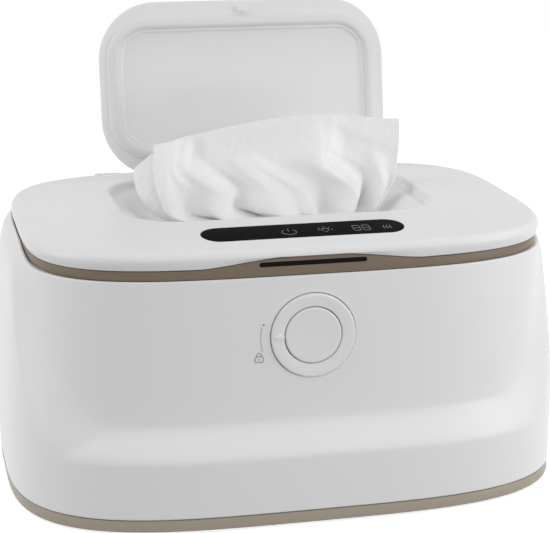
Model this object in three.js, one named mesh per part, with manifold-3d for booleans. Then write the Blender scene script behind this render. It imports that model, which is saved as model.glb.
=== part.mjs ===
// Baby wipe warmer: a heated box with a hinged lid, a flip cover over a dispensing bowl and a lock ring with a push button.
// Millimetres, +Z up, front towards -Y, origin on the resting plane under the centre of the base.

import * as THREE from 'three';
import Module from 'manifold-3d';
import { mergeVertices } from 'three/addons/utils/BufferGeometryUtils.js';

const wasm = await Module();
wasm.setup();

// Shared fits and walls
const seam = 0.3;
const overrun = 2;
const shellWall = 2.6;
const runningGap = 0.4;

// Plan outlines, as half sizes of rounded superellipses
const panelHalfX = 116;
const panelHalfY = 84.4;
const panelPower = 3.8;
const cheekReach = 8.3;
const cheekLean = 4.2;
const flareReach = 8.1;
const flarePower = 3.53;
const trayInset = 0.3;

// Heights, from the resting plane upwards
const footProud = 1.2;
const bandHeight = 5.2;
const rimRise = 101;
const cheekRise = 5;
const trimReveal = 4.5;

const trayTop = footProud + bandHeight;
const housingBottom = trayTop + seam;
const rimFront = housingBottom + rimRise;
const rimSide = rimFront + cheekRise;
const lidEdge = rimFront + trimReveal;

// Flare: the step from the wide lower body to the inset front panel, and its sweep up the sides
const flareCentreRise = 31.5;
const flareHalfHeight = 8;
const sweepSetback = 11;
const sweepStartY = sweepSetback - panelHalfY;
const sweepReachY = 42;
const sweepRise = 56;
const rimRiseSetback = 34;
const rimRiseLength = 45;
const rimRiseStartY = rimRiseSetback - panelHalfY;
const rimRiseEndY = rimRiseStartY + rimRiseLength;
const cheekRoundHeight = 13;
const cheekRoundInset = 6.2;
const bottomRound = 0.8;

// Inner ledge that carries the trim frame
const ledgeReach = 4.2;
const ledgeThickness = 2.2;

// Lid
const lidInset = 1;
const lidShiftY = -1.6;
const lidPower = 3.87;
const lidSideHeight = 4;
const lidFillet = 3.5;
const lidCrown = 4.5;
const lidWall = 2.4;
const lidSideGap = 0.9;
const archRise = 4.1;
const archHalfLength = 48;
const lidHalfX = panelHalfX - lidInset;
const lidHalfY = panelHalfY - lidInset + seam;
const shoulderZ = lidEdge + lidSideHeight + lidFillet;

// Dispensing bowl in the lid
const bowlSideMargin = 45.4;
const bowlEndMargin = 38;
const bowlHalfX = lidHalfX - bowlSideMargin;
const bowlHalfY = lidHalfY - bowlEndMargin;
const bowlCentreY = 1;
const bowlCorner = 26.6;
const bowlWallDepth = 4.3;
const bowlSink = 9;
const bowlFallLength = 14;
const bowlWall = 2;
const bowlRimChamfer = 1.4;
const bowlRimZ = shoulderZ + 3.9;

// Wipe gate
const gateHalfX = 54;
const gateHalfY = 12;
const gateFrameMargin = 8;
const gateLap = 4;
const gateThickness = 1.2;
const gateFrameThickness = 2;
const slitHalfX = 50;
const slitHalfWidth = 0.9;

// Flip cover
const coverGap = 0.7;
const coverHingeY = bowlCentreY + bowlHalfY + seam;
const coverHingeDrop = 1.6;
const coverHingeSetback = 1.8;
const coverLength = 82;
const coverThickness = 3.4;
const coverEdgeRound = 1.1;
const coverMarginX = 3.9;
const coverMarginY = 5.3;
const coverBeadShift = 0.8;
const coverCorner = 27.4;
const coverBeadWidth = 3.3;
const coverBeadHeight = 3.5;
const coverGroove = 1;
const coverPanelDepth = 1.2;
const coverKnuckleRadius = 2.3;
const coverKnuckleX = 34;
const coverKnuckleLength = 16;
const coverLugLength = 4;
const coverPinRadius = 1;
const coverTroughRadius = 4.4;
const coverOpenAngle = 100;
const claspWidth = 5;
const claspHeight = 1.4;
const claspThickness = 1.2;

// Control lens and its board
const lensHalfX = 44;
const lensHalfY = 7.9;
const lensSetback = 19.3;
const lensCentreY = lidShiftY - lidHalfY + lensSetback;
const lensThickness = 1.3;
const touchBoardThickness = 1.2;

// Trim frame
const trimInset = 2;
const bandThickness = 1.2;
const flangeDrop = 0.3;
const flangeThickness = 2.2;
const skirtDepth = 3.6;
const skirtThickness = 1.6;
const slotHalfX = 22.9;
const slotHeight = 2.1;

// Wipe tub and what warms it
const tubSideMargin = 16.5;
const tubEndMargin = 24.9;
const tubHalfX = panelHalfX - tubSideMargin;
const tubHalfY = panelHalfY - tubEndMargin;
const tubCentreY = 7;
const tubCorner = 28;
const tubWall = 2;
const tubFlange = 2.6;
const tubFlangeThickness = 1.8;
const tubHeight = 74;
const tubTaper = 1.5;
const tubRoom = 1;
const plateThickness = 1.5;
const filmThickness = 0.4;
const padThickness = 7;
const warmerInset = 8;

// Lid hinge at the back
const hingeSetback = 5.5;
const hingeRise = 3.6;
const hingeStationX = 60;
const hingeKnuckleLength = 8;
const hingeLugLength = 4;
const hingeRadius = 2.9;
const hingePinRadius = 1.25;
const hingeArmTop = 2.2;
const hingeSpringSpace = 5.6;
const springTurns = 3;
const springWireRadius = 0.4;
const springCoilRadius = 2.2;

// Lock ring, push button and latch
const lockDrop = 26.1;
const lockRadius = 18.1;
const buttonRadius = 12.05;
const lockProud = 1.2;
const buttonProud = 0.7;
const lockDepth = 8.2;
const buttonTravel = 2.5;
const stemRadius = 2.9;
const latchPlateSetback = 21.4;
const latchPlateY = latchPlateSetback - panelHalfY;
const latchPlateThickness = 2.2;
const latchWidth = 14;
const hookWidth = 10;
const hookThickness = 2.5;
const hookSetback = 12.9;
const hookFrontY = hookSetback - panelHalfY;
const hookDrop = 15;
const hookBarb = 2.5;
const hookBarbHeight = 2.5;
const hookHeadHeight = 1.8;
const latchPlay = 0.4;

// Base tray, feet and fasteners
const trayFloor = 2.4;
const spigotHeight = 4;
const spigotThickness = 2;
const footRadius = 8;
const footRecess = 0.9;
const footSideMargin = 28;
const footEndMargin = 24.4;
const footX = panelHalfX - footSideMargin;
const footY = panelHalfY - footEndMargin;
const bossSideMargin = 16;
const bossEndMargin = 18.4;
const bossX = panelHalfX - bossSideMargin;
const bossY = panelHalfY - bossEndMargin;
const bossRadius = 4.6;
const gussetRadius = 2.8;
const gussetReach = 3.7;
const bossHeight = 19;
const screwHeadRadius = 3;
const screwShankRadius = 1.5;
const screwHeadHeight = 1.8;
const smallHeadRadius = 2.5;
const smallShankRadius = 1.2;
const smallHeadHeight = 1;

// Main board and power inlet
const boardHalfX = 34;
const boardHalfY = 23;
const boardEndMargin = 35.4;
const boardCentreY = panelHalfY - boardEndMargin;
const boardThickness = 1.6;
const boardStandoff = 4;
const boardPostInset = 5;
const chipHalf = 6;
const chipHeight = 2;
const relayHalfX = 7;
const relayHalfY = 5;
const relayX = 21;
const relayShiftY = 3;
const tallPartHeight = 10;
const capacitorRadius = 4;
const capacitorX = -20;
const capacitorShiftY = 4;
const sensorLength = 9;
const sensorHeight = 6;
const sensorThickness = 3.2;
const sensorLift = 9;
const inletHalfX = 7;
const inletHeight = 11;
const inletLength = 13;
const inletNoseRadius = 4.2;
const inletBoreRadius = 3.2;
const inletPinRadius = 1;

// Colours of the moulded and metal parts
const finishes = {
  whiteShell: { color: 0xe6e6e6, roughness: 0.42, metalness: 0 },
  taupeTrim: { color: 0x8d7d6b, roughness: 0.45, metalness: 0 },
  darkGloss: { color: 0x141416, roughness: 0.12, metalness: 0 },
  greyPlastic: { color: 0xb9bcbe, roughness: 0.55, metalness: 0 },
  silicone: { color: 0xdcdcdc, roughness: 0.6, metalness: 0 },
  rubber: { color: 0x4a4642, roughness: 0.85, metalness: 0 },
  steel: { color: 0xb4b6b8, roughness: 0.3, metalness: 1 },
  aluminium: { color: 0xc9cbcc, roughness: 0.4, metalness: 1 },
  film: { color: 0xb5672b, roughness: 0.35, metalness: 0 },
  foam: { color: 0x8f8f8c, roughness: 0.95, metalness: 0 },
  board: { color: 0x1f5a3a, roughness: 0.5, metalness: 0 },
  wipe: { color: 0xf4f4f4, roughness: 0.9, metalness: 0 },
};

// Solids and meshes

function solidFrom(geometry) {
  const bare = geometry.clone();
  bare.deleteAttribute('normal');
  bare.deleteAttribute('uv');
  const merged = mergeVertices(bare);
  return new wasm.Manifold(new wasm.Mesh({
    numProp: 3,
    vertProperties: new Float32Array(merged.attributes.position.array),
    triVerts: new Uint32Array(merged.index.array),
  }));
}

function meshFrom(name, solid, finish) {
  const mesh = solid.getMesh();
  const indexed = new THREE.BufferGeometry();
  indexed.setAttribute('position', new THREE.BufferAttribute(mesh.vertProperties, 3));
  indexed.setIndex(new THREE.BufferAttribute(mesh.triVerts, 1));
  const geometry = indexed.toNonIndexed();
  geometry.computeVertexNormals();
  const result = new THREE.Mesh(geometry, new THREE.MeshStandardMaterial(finishes[finish]));
  result.name = name;
  return result;
}

function union(first, ...others) {
  return others.reduce((whole, piece) => whole.add(piece), first);
}

function cut(whole, ...tools) {
  return tools.reduce((rest, tool) => rest.subtract(tool), whole);
}

// A closed solid through rings of equal count, each ring running counter-clockwise seen from above, lowest ring first
function loft(rings) {
  const count = rings[0].length;
  const positions = rings.flat(2);
  const indices = [];
  for (let ring = 0; ring + 1 < rings.length; ring += 1) {
    for (let k = 0; k < count; k += 1) {
      const next = (k + 1) % count;
      const a = ring * count + k;
      const b = ring * count + next;
      const c = (ring + 1) * count + next;
      const d = (ring + 1) * count + k;
      indices.push(a, b, c, a, c, d);
    }
  }
  const capCentre = (ring) => {
    const sum = ring.reduce((total, point) => total.map((value, axis) => value + point[axis]), [0, 0, 0]);
    return sum.map((value) => value / count);
  };
  const bottom = positions.length / 3;
  positions.push(...capCentre(rings[0]));
  const top = positions.length / 3;
  positions.push(...capCentre(rings[rings.length - 1]));
  const lastRing = (rings.length - 1) * count;
  for (let k = 0; k < count; k += 1) {
    const next = (k + 1) % count;
    indices.push(bottom, next, k);
    indices.push(top, lastRing + k, lastRing + next);
  }
  const geometry = new THREE.BufferGeometry();
  geometry.setAttribute('position', new THREE.Float32BufferAttribute(positions, 3));
  geometry.setIndex(indices);
  return solidFrom(geometry);
}

function block(fromX, toX, fromY, toY, fromZ, toZ) {
  const geometry = new THREE.BoxGeometry(toX - fromX, toY - fromY, toZ - fromZ);
  geometry.translate((fromX + toX) / 2, (fromY + toY) / 2, (fromZ + toZ) / 2);
  return solidFrom(geometry);
}

// Round solids from a profile of [radius, height] pairs that runs up the outside
function turned(profile, segments) {
  const points = profile.map(([radius, height]) => new THREE.Vector2(radius, height));
  const geometry = new THREE.LatheGeometry(points, segments);
  geometry.rotateX(Math.PI / 2);
  return geometry;
}

function rodZ(radius, x, y, fromZ, toZ, segments = 14) {
  const geometry = turned([[0, fromZ], [radius, fromZ], [radius, toZ], [0, toZ]], segments);
  geometry.translate(x, y, 0);
  return solidFrom(geometry);
}

function rodX(radius, fromX, toX, y, z, segments = 16) {
  const geometry = turned([[0, fromX], [radius, fromX], [radius, toX], [0, toX]], segments);
  geometry.rotateY(Math.PI / 2);
  geometry.translate(0, y, z);
  return solidFrom(geometry);
}

// Turned about an axis along Y at x 0, height z; profile depths run from the back towards the front
function turnedY(profile, z, segments) {
  const geometry = turned(profile, segments);
  geometry.rotateX(Math.PI / 2);
  geometry.translate(0, 0, z);
  return solidFrom(geometry);
}

function rodY(radius, fromY, toY, x, z, segments = 16) {
  const solid = turnedY([[0, -toY], [radius, -toY], [radius, -fromY], [0, -fromY]], z, segments);
  return solid.translate([x, 0, 0]);
}

// Superellipse plans, sampled closely where the flare and the corners turn
const bodyZones = [[-90, -50, 3], [-50, -22, 5], [-22, 16, 8], [16, 52, 5], [52, 90, 2]];
const lidZones = [[-90, -50, 3], [-50, -22, 5], [-22, 22, 2], [22, 50, 4], [50, 90, 2]];

function planAngles(zones) {
  const right = [];
  for (const [from, to, steps] of zones) {
    for (let step = 0; step < steps; step += 1) {
      right.push(from + ((to - from) * step) / steps);
    }
  }
  const left = right.slice(1).map((degrees) => 180 - degrees).reverse();
  return [...right, 90, ...left].map((degrees) => THREE.MathUtils.degToRad(degrees));
}

const angles = planAngles(bodyZones);
const lidAngles = planAngles(lidZones);

function planPoint(outline, angle) {
  const alongX = Math.cos(angle);
  const alongY = Math.sin(angle);
  const spread = (Math.abs(alongX) / outline.halfX) ** outline.power + (Math.abs(alongY) / outline.halfY) ** outline.power;
  const radius = spread ** (-1 / outline.power);
  return [alongX * radius, alongY * radius + (outline.shiftY ?? 0)];
}

function planRing(outline, z) {
  return (outline.angles ?? angles).map((angle) => [...planPoint(outline, angle), z]);
}

function inset(outline, distance) {
  return { ...outline, halfX: outline.halfX - distance, halfY: outline.halfY - distance };
}

function prism(outline, fromZ, toZ) {
  return loft([planRing(outline, fromZ), planRing(outline, toZ)]);
}

const panelPlan = { halfX: panelHalfX, halfY: panelHalfY, power: panelPower };
const flarePlan = { halfX: panelHalfX + cheekReach, halfY: panelHalfY + flareReach, power: flarePower };

// The cheeks lean in from the flare up to the rim
function leaningPlan(z) {
  const share = (z - housingBottom - flareCentreRise) / (rimSide - housingBottom - flareCentreRise);
  return { ...flarePlan, halfX: flarePlan.halfX - cheekLean * Math.max(share, 0) };
}

const trayPlan = inset(flarePlan, trayInset);
const lidPlan = { halfX: lidHalfX, halfY: lidHalfY, power: lidPower, shiftY: lidShiftY, angles: lidAngles };
const trimPlan = { halfX: panelHalfX - trimInset, halfY: panelHalfY - seam, power: panelPower };
const ledgePlan = inset(panelPlan, ledgeReach);

// Rounded rectangles
function roundRectRing({ halfX, halfY, corner, centreY = 0 }, z, cornerSteps = 5) {
  const ring = [];
  const radius = Math.min(corner, halfX - seam, halfY - seam);
  const quarters = [[1, -1, -90], [1, 1, 0], [-1, 1, 90], [-1, -1, 180]];
  for (const [sideX, sideY, start] of quarters) {
    for (let step = 0; step <= cornerSteps; step += 1) {
      const angle = THREE.MathUtils.degToRad(start + (90 * step) / cornerSteps);
      const x = sideX * (halfX - radius) + radius * Math.cos(angle);
      const y = sideY * (halfY - radius) + radius * Math.sin(angle);
      ring.push([x, y + centreY, z]);
    }
  }
  return ring;
}

function grown(rect, distance) {
  return {
    ...rect,
    halfX: rect.halfX + distance,
    halfY: rect.halfY + distance,
    corner: Math.max(rect.corner + distance, seam),
  };
}

function roundRectPrism(rect, fromZ, toZ, cornerSteps = 5) {
  return loft([roundRectRing(rect, fromZ, cornerSteps), roundRectRing(rect, toZ, cornerSteps)]);
}

// A bead that runs round a rounded rectangle; section points are [outward, height] and run counter-clockwise
function beadLoop(rect, section, cornerSteps = 6) {
  const loops = section.map(([outward, height]) => roundRectRing(grown(rect, outward), height, cornerSteps));
  const count = loops[0].length;
  const sides = section.length;
  const indices = [];
  for (let side = 0; side < sides; side += 1) {
    for (let k = 0; k < count; k += 1) {
      const a = side * count + k;
      const b = side * count + ((k + 1) % count);
      const c = ((side + 1) % sides) * count + ((k + 1) % count);
      const d = ((side + 1) % sides) * count + k;
      indices.push(a, b, c, a, c, d);
    }
  }
  const geometry = new THREE.BufferGeometry();
  geometry.setAttribute('position', new THREE.Float32BufferAttribute(loops.flat(2), 3));
  geometry.setIndex(indices);
  return solidFrom(geometry);
}

// Outer housing: the panel and flare plans are blended by the distance from the flare line

function smooth(value) {
  const share = Math.min(Math.max(value, 0), 1);
  return share * share * (3 - 2 * share);
}

// Height of the flare line at a depth y: level along the front, sweeping up the sides
function flareLine(y) {
  const centre = housingBottom + flareCentreRise;
  const along = (y - sweepStartY) / sweepReachY;
  if (along <= 0) {
    return centre;
  }
  return along < 1 ? centre + sweepRise * Math.atanh(along) : Infinity;
}

function flareWeight(y, z) {
  const steps = 12;
  const lineY = (step) => sweepStartY + (sweepReachY * step) / steps;
  let nearest = Math.abs(flareLine(sweepStartY) - z);
  if (y > sweepStartY) {
    nearest = Math.hypot(y - sweepStartY, z - flareLine(sweepStartY));
    for (let step = 0; step < steps; step += 1) {
      const fromY = lineY(step);
      const toY = step + 1 < steps ? lineY(step + 1) : fromY + sweepReachY / steps;
      const fromZ = flareLine(fromY);
      const toZ = step + 1 < steps ? flareLine(toY) : fromZ + sweepRise * steps;
      const run = [toY - fromY, toZ - fromZ];
      const length = run[0] ** 2 + run[1] ** 2;
      const share = Math.min(Math.max(((y - fromY) * run[0] + (z - fromZ) * run[1]) / length, 0), 1);
      nearest = Math.min(nearest, Math.hypot(y - fromY - run[0] * share, z - fromZ - run[1] * share));
    }
  }
  const side = z < flareLine(y) ? 1 : -1;
  return smooth(0.5 + (side * nearest) / (2 * flareHalfHeight));
}

function rimHeight(y) {
  return rimFront + cheekRise * smooth((y - rimRiseStartY) / (rimRiseEndY - rimRiseStartY));
}

function housingLevel(angle, share) {
  const top = rimHeight(planPoint(panelPlan, angle)[1]);
  return housingBottom + (top - housingBottom) * share;
}

function housingPoint(angle, z, offset) {
  const panel = planPoint(inset(panelPlan, offset), angle);
  const flare = planPoint(inset(leaningPlan(z), offset), angle);
  const guide = planPoint(panelPlan, angle);
  const top = rimHeight(guide[1]);
  const weight = flareWeight(guide[1], z);
  const belowTop = Math.max(cheekRoundHeight - (top - z), 0) / cheekRoundHeight;
  const crownInset = cheekRoundInset * (1 - Math.sqrt(1 - belowTop ** 2));
  const footInset = offset > 0 ? 0 : bottomRound * (1 - smooth((z - housingBottom) / bottomRound / 2));
  const x = panel[0] + (flare[0] - panel[0]) * weight;
  const y = panel[1] + (flare[1] - panel[1]) * weight;
  const length = Math.hypot(x, y);
  const pull = (crownInset * weight + footInset) / length;
  return [x * (1 - pull), y * (1 - pull), z];
}

const outerLevelShares = [
  0, 0.02, 0.21, 0.25, 0.28, 0.31, 0.34, 0.38, 0.43, 0.5, 0.58, 0.66, 0.74, 0.82, 0.89, 0.94, 0.975, 1,
];
const innerLevelShares = [-0.05, 0.21, 0.31, 0.38, 0.5, 0.66, 0.8];

function outerHousing() {
  const ring = (share, offset) => angles.map((angle) => housingPoint(angle, housingLevel(angle, share), offset));
  const body = loft(outerLevelShares.map((share) => ring(share, 0)));
  const ledgeBottom = rimFront - ledgeThickness;
  const closing = angles.map((angle) => housingPoint(angle, ledgeBottom, shellWall));
  const hollow = loft([...innerLevelShares.map((share) => ring(share, shellWall)), closing]);
  const ledgeHole = prism(ledgePlan, ledgeBottom - overrun, rimSide + overrun);
  const trimPocket = prism(inset(trimPlan, -runningGap), rimFront, rimSide + overrun);
  const lidPocket = prism(inset(lidPlan, -lidSideGap), lidEdge - seam, rimSide + overrun);
  const lockHole = rodY(lockRadius + runningGap, -panelHalfY - overrun, -panelHalfY + shellWall + overrun, 0, lockZ, 40);
  const inletHole = rodY(inletNoseRadius + seam, panelHalfY, flarePlan.halfY + overrun, 0, inletZ, 24);
  const shell = cut(body, hollow, ledgeHole, trimPocket, lidPocket, lockHole, inletHole);
  return meshFrom('outer_housing', cut(union(shell, ...housingBosses(), ...hingeLugs()), ...bossBores(), ...hingeBores()), 'whiteShell');
}

const lockZ = rimFront - lockDrop;
const inletZ = footProud + trayFloor + boardStandoff + boardThickness + seam + inletHeight / 2;

// Corner bosses that take the base screws, each with a gusset to the wall
const bossPlaces = [[-1, -1], [1, -1], [1, 1], [-1, 1]].map(([sideX, sideY]) => [sideX * bossX, sideY * bossY]);
const bossBottom = trayTop + seam;

function housingBosses() {
  const pieces = [];
  for (const [x, y] of bossPlaces) {
    const towardsX = x + Math.sign(x) * gussetReach;
    const towardsY = y + Math.sign(y) * gussetReach;
    pieces.push(rodZ(bossRadius, x, y, bossBottom, bossBottom + bossHeight));
    pieces.push(rodZ(gussetRadius, towardsX, towardsY, bossBottom, bossBottom + bossHeight));
  }
  return pieces;
}

function bossBores() {
  return bossPlaces.map(([x, y]) => rodZ(screwShankRadius + seam, x, y, bossBottom - overrun, bossBottom + bossHeight - overrun));
}

// Lid hinge
const hingeY = panelHalfY + flareReach - hingeSetback;
const hingeZ = rimSide + hingeRise;
const knuckleFrom = hingeStationX - hingeKnuckleLength / 2;
const knuckleTo = hingeStationX + hingeKnuckleLength / 2;
const outerLugFrom = knuckleTo + runningGap;
const outerLugTo = outerLugFrom + hingeLugLength;
const innerLugTo = knuckleFrom - hingeSpringSpace - runningGap;
const innerLugFrom = innerLugTo - hingeLugLength;
const sides = [-1, 1];

function spanX(side, from, to) {
  return side > 0 ? [from, to] : [-to, -from];
}

function hingeLugs() {
  const pieces = [];
  for (const side of sides) {
    for (const [from, to] of [[innerLugFrom, innerLugTo], [outerLugFrom, outerLugTo]]) {
      const [fromX, toX] = spanX(side, from, to);
      pieces.push(block(fromX, toX, hingeY - hingeRadius, hingeY + hingeRadius, rimSide - cheekRoundHeight, hingeZ));
      pieces.push(rodX(hingeRadius, fromX, toX, hingeY, hingeZ));
    }
  }
  return pieces;
}

function hingeBores() {
  return sides.map((side) => {
    const [fromX, toX] = spanX(side, innerLugFrom - overrun, outerLugTo + overrun);
    return rodX(hingePinRadius + seam, fromX, toX, hingeY, hingeZ);
  });
}

function hingePins() {
  return sides.map((side) => {
    const [fromX, toX] = spanX(side, innerLugFrom, outerLugTo);
    return meshFrom(side < 0 ? 'hinge_pin_left' : 'hinge_pin_right', rodX(hingePinRadius, fromX, toX, hingeY, hingeZ, 16), 'steel');
  });
}

// A helix about X with a straight leg at each end, both leaving at the bottom of the coil
class TorsionSpring extends THREE.Curve {
  constructor(fromX, length, turns, radius, leg, y, z) {
    super();
    Object.assign(this, { fromX, length, turns, radius, leg, y, z });
  }

  getPoint(t, target = new THREE.Vector3()) {
    const legShare = 0.06;
    const turn = Math.min(Math.max((t - legShare) / (1 - 2 * legShare), 0), 1);
    const angle = 2 * Math.PI * this.turns * turn;
    const legY = t < legShare ? this.leg * (1 - t / legShare) : 0;
    const backY = t > 1 - legShare ? this.leg * (1 - (1 - t) / legShare) : 0;
    return target.set(
      this.fromX + this.length * turn,
      this.y - this.radius * Math.sin(angle) + legY - backY,
      this.z - this.radius * Math.cos(angle),
    );
  }
}

function wireAlong(curve, radius, steps) {
  const section = new THREE.Shape();
  const corners = 5;
  for (let corner = 0; corner < corners; corner += 1) {
    const angle = (2 * Math.PI * corner) / corners;
    const method = corner === 0 ? 'moveTo' : 'lineTo';
    section[method](radius * Math.cos(angle), radius * Math.sin(angle));
  }
  section.closePath();
  return solidFrom(new THREE.ExtrudeGeometry(section, { steps, bevelEnabled: false, extrudePath: curve }));
}

const stepsPerTurn = 8;

// The least gap between one turn of a coil and the next, measured on points along the wire's middle line
function reportCoilGap(name, curve, turns) {
  const points = curve.getSpacedPoints(turns * 60);
  const halfTurn = 30;
  let least = Infinity;
  for (let a = 0; a < points.length; a += 1) {
    for (let b = a + halfTurn; b < points.length; b += 1) {
      least = Math.min(least, points[a].distanceTo(points[b]));
    }
  }
  console.log(`${name}: least gap between turns ${(least - 2 * springWireRadius).toFixed(2)} mm`);
}

function lidSprings() {
  const legSteps = 2;
  return sides.map((side) => {
    const room = hingeSpringSpace - 2 * springWireRadius - 2 * seam;
    const [fromX] = spanX(side, innerLugTo + springWireRadius + seam, innerLugTo + springWireRadius + seam + room);
    const leg = springCoilRadius + hingePinRadius;
    const curve = new TorsionSpring(fromX, room, springTurns, springCoilRadius, leg, hingeY, hingeZ);
    reportCoilGap(side < 0 ? 'lid_spring_left' : 'lid_spring_right', curve, springTurns);
    const solid = wireAlong(curve, springWireRadius, springTurns * stepsPerTurn + 2 * legSteps);
    return meshFrom(side < 0 ? 'lid_spring_left' : 'lid_spring_right', solid, 'steel');
  });
}

// Base tray, feet and base screws

function baseTray() {
  const bottom = footProud;
  const edge = bottomRound;
  const body = loft([
    planRing(inset(trayPlan, edge), bottom),
    planRing(inset(trayPlan, edge / 3), bottom + edge / 3),
    planRing(trayPlan, bottom + edge),
    planRing(trayPlan, trayTop),
  ]);
  const spigotPlan = inset(flarePlan, shellWall + seam);
  const spigot = prism(spigotPlan, trayTop - overrun, trayTop + spigotHeight);
  const well = prism(inset(spigotPlan, spigotThickness), bottom + trayFloor, trayTop + spigotHeight + overrun);
  const notches = bossPlaces.map(([x, y]) => {
    const reach = bossRadius + 2 * seam;
    const [fromX, toX] = x > 0 ? [x - reach, flarePlan.halfX] : [-flarePlan.halfX, x + reach];
    const [fromY, toY] = y > 0 ? [y - reach, flarePlan.halfY] : [-flarePlan.halfY, y + reach];
    return block(fromX, toX, fromY, toY, trayTop, trayTop + spigotHeight + overrun);
  });
  const inletRoom = inletHalfX + 2 * seam;
  const inletNotch = block(-inletRoom, inletRoom, panelHalfY, flarePlan.halfY, trayTop, trayTop + spigotHeight + overrun);
  const shell = cut(union(body, spigot), well, ...notches, inletNotch);
  const floorZ = bottom + trayFloor;
  const additions = [];
  for (const [x, y] of bossPlaces) {
    additions.push(rodZ(bossRadius, x, y, bottom + edge, trayTop));
  }
  for (const x of [-padRibX, 0, padRibX]) {
    const toY = x === 0 ? boardCentreY - boardHalfY - 2 * overrun : warmerHalfY + tubCentreY;
    additions.push(block(x - tubWall / 2, x + tubWall / 2, tubCentreY - warmerHalfY, toY, floorZ - edge, padBottom - seam));
  }
  for (const x of [-boardPostX, boardPostX]) {
    for (const y of [boardCentreY - boardPostY, boardCentreY + boardPostY]) {
      additions.push(rodZ(screwHeadRadius, x, y, floorZ - edge, boardBottom - seam));
    }
  }
  const cuts = [];
  for (const [x, y] of bossPlaces) {
    cuts.push(rodZ(screwShankRadius + seam, x, y, bottom - overrun, trayTop + overrun));
    cuts.push(rodZ(screwHeadRadius + seam, x, y, bottom - overrun, bottom + screwHeadHeight + seam));
  }
  for (const [x, y] of footPlaces) {
    cuts.push(rodZ(footRadius + seam, x, y, bottom - overrun, bottom + footRecess));
  }
  for (const [x, y] of boardScrewPlaces) {
    cuts.push(rodZ(smallShankRadius + seam, x, y, floorZ, boardBottom + overrun));
  }
  return meshFrom('base_tray', cut(union(shell, ...additions), ...cuts), 'taupeTrim');
}

const footPlaces = [[-footX, -footY], [footX, -footY], [footX, footY], [-footX, footY]];

function rubberFeet() {
  const top = footProud + footRecess - seam;
  const edge = bottomRound / 2;
  return footPlaces.map(([x, y], index) => {
    const geometry = turned([[0, 0], [footRadius - edge, 0], [footRadius, edge], [footRadius, top], [0, top]], 18);
    geometry.translate(x, y, 0);
    return meshFrom(`rubber_foot_${index + 1}`, solidFrom(geometry), 'rubber');
  });
}

function screw(name, x, y, headZ, length, headRadius, shankRadius, headHeight) {
  const shankTop = headZ + headHeight + length;
  const point = shankRadius / 2;
  const profile = [
    [0, headZ],
    [headRadius, headZ],
    [headRadius, headZ + headHeight],
    [shankRadius, headZ + headHeight],
    [shankRadius, shankTop - point],
    [0, shankTop],
  ];
  const geometry = turned(profile, 10);
  geometry.translate(x, y, 0);
  return meshFrom(name, solidFrom(geometry), 'steel');
}

function baseScrews() {
  return bossPlaces.map(([x, y], index) => screw(
    `base_screw_${index + 1}`,
    x,
    y,
    footProud + seam,
    bandHeight + bossHeight / 2,
    screwHeadRadius,
    screwShankRadius,
    screwHeadHeight - seam,
  ));
}

// Trim frame under the lid, with the dark slot window at its middle

const trimBottom = rimFront + seam;
const trimTop = lidEdge - seam;
const flangeTop = trimTop - flangeDrop;
const flangeBottom = flangeTop - flangeThickness;
const slotZ = flangeTop + seam + slotHeight / 2;

function archHeight(x) {
  const share = 1 - Math.min(Math.abs(x) / archHalfLength, 1) ** 2;
  return archRise * share ** 1.5;
}

// Everything above (or below) the arched parting line, as a solid across the front
function archSolid(lineZ, limitZ, fromY, toY) {
  const span = lidHalfX + 2 * overrun;
  const steps = 16;
  const shape = new THREE.Shape();
  shape.moveTo(-span, limitZ);
  shape.lineTo(-span, lineZ);
  for (let step = 0; step <= steps; step += 1) {
    const x = archHalfLength * ((2 * step) / steps - 1);
    shape.lineTo(x, lineZ + archHeight(x));
  }
  shape.lineTo(span, lineZ);
  shape.lineTo(span, limitZ);
  shape.closePath();
  const geometry = new THREE.ExtrudeGeometry(shape, { depth: toY - fromY, bevelEnabled: false });
  geometry.rotateX(Math.PI / 2);
  geometry.translate(0, toY, 0);
  return solidFrom(geometry);
}

function slotStadium(halfX, height, fromY, toY) {
  const radius = height / 2;
  return union(
    block(-halfX + radius, halfX - radius, fromY, toY, slotZ - radius, slotZ + radius),
    rodY(radius, fromY, toY, -halfX + radius, slotZ, 12),
    rodY(radius, fromY, toY, halfX - radius, slotZ, 12),
  );
}

const tubRect = { halfX: tubHalfX, halfY: tubHalfY, corner: tubCorner, centreY: tubCentreY };
const hookWindow = {
  fromX: -hookWidth / 2 - overrun - seam,
  toX: hookWidth / 2 + overrun + seam,
  fromY: hookFrontY - hookThickness - overrun,
  toY: latchPlateY + buttonTravel,
};

function trimFrame() {
  const topOfArch = trimTop + archRise + overrun;
  const band = prism(trimPlan, trimBottom, topOfArch);
  const above = archSolid(trimTop, topOfArch + overrun, -panelHalfY - overrun, panelHalfY + overrun);
  const insideBand = prism(inset(trimPlan, bandThickness), flangeTop, topOfArch + overrun);
  const skirtPlan = inset(ledgePlan, seam);
  const skirt = prism(skirtPlan, trimBottom - skirtDepth, trimBottom + seam);
  const underside = prism(inset(skirtPlan, skirtThickness), trimBottom - skirtDepth - overrun, flangeBottom);
  const opening = roundRectPrism(grown(tubRect, tubRoom), trimBottom - skirtDepth - overrun, topOfArch);
  const w = hookWindow;
  const window = block(w.fromX, w.toX, w.fromY, w.toY, flangeBottom - overrun, flangeTop + overrun);
  const slot = slotStadium(slotHalfX, slotHeight, -panelHalfY - overrun, -panelHalfY + bandThickness + 2 * seam);
  const frame = union(cut(band, above, insideBand), skirt);
  return meshFrom('trim_frame', cut(frame, underside, opening, window, slot), 'taupeTrim');
}

function frontWindow() {
  const fromY = -trimPlan.halfY + seam / 3;
  const fit = seam - seam / 6;
  const pane = slotStadium(slotHalfX - fit, slotHeight - 2 * fit, fromY, fromY + bandThickness - seam / 3);
  return meshFrom('front_window', pane, 'darkGloss');
}

// Wipe tub and the heating stack beneath it

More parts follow.
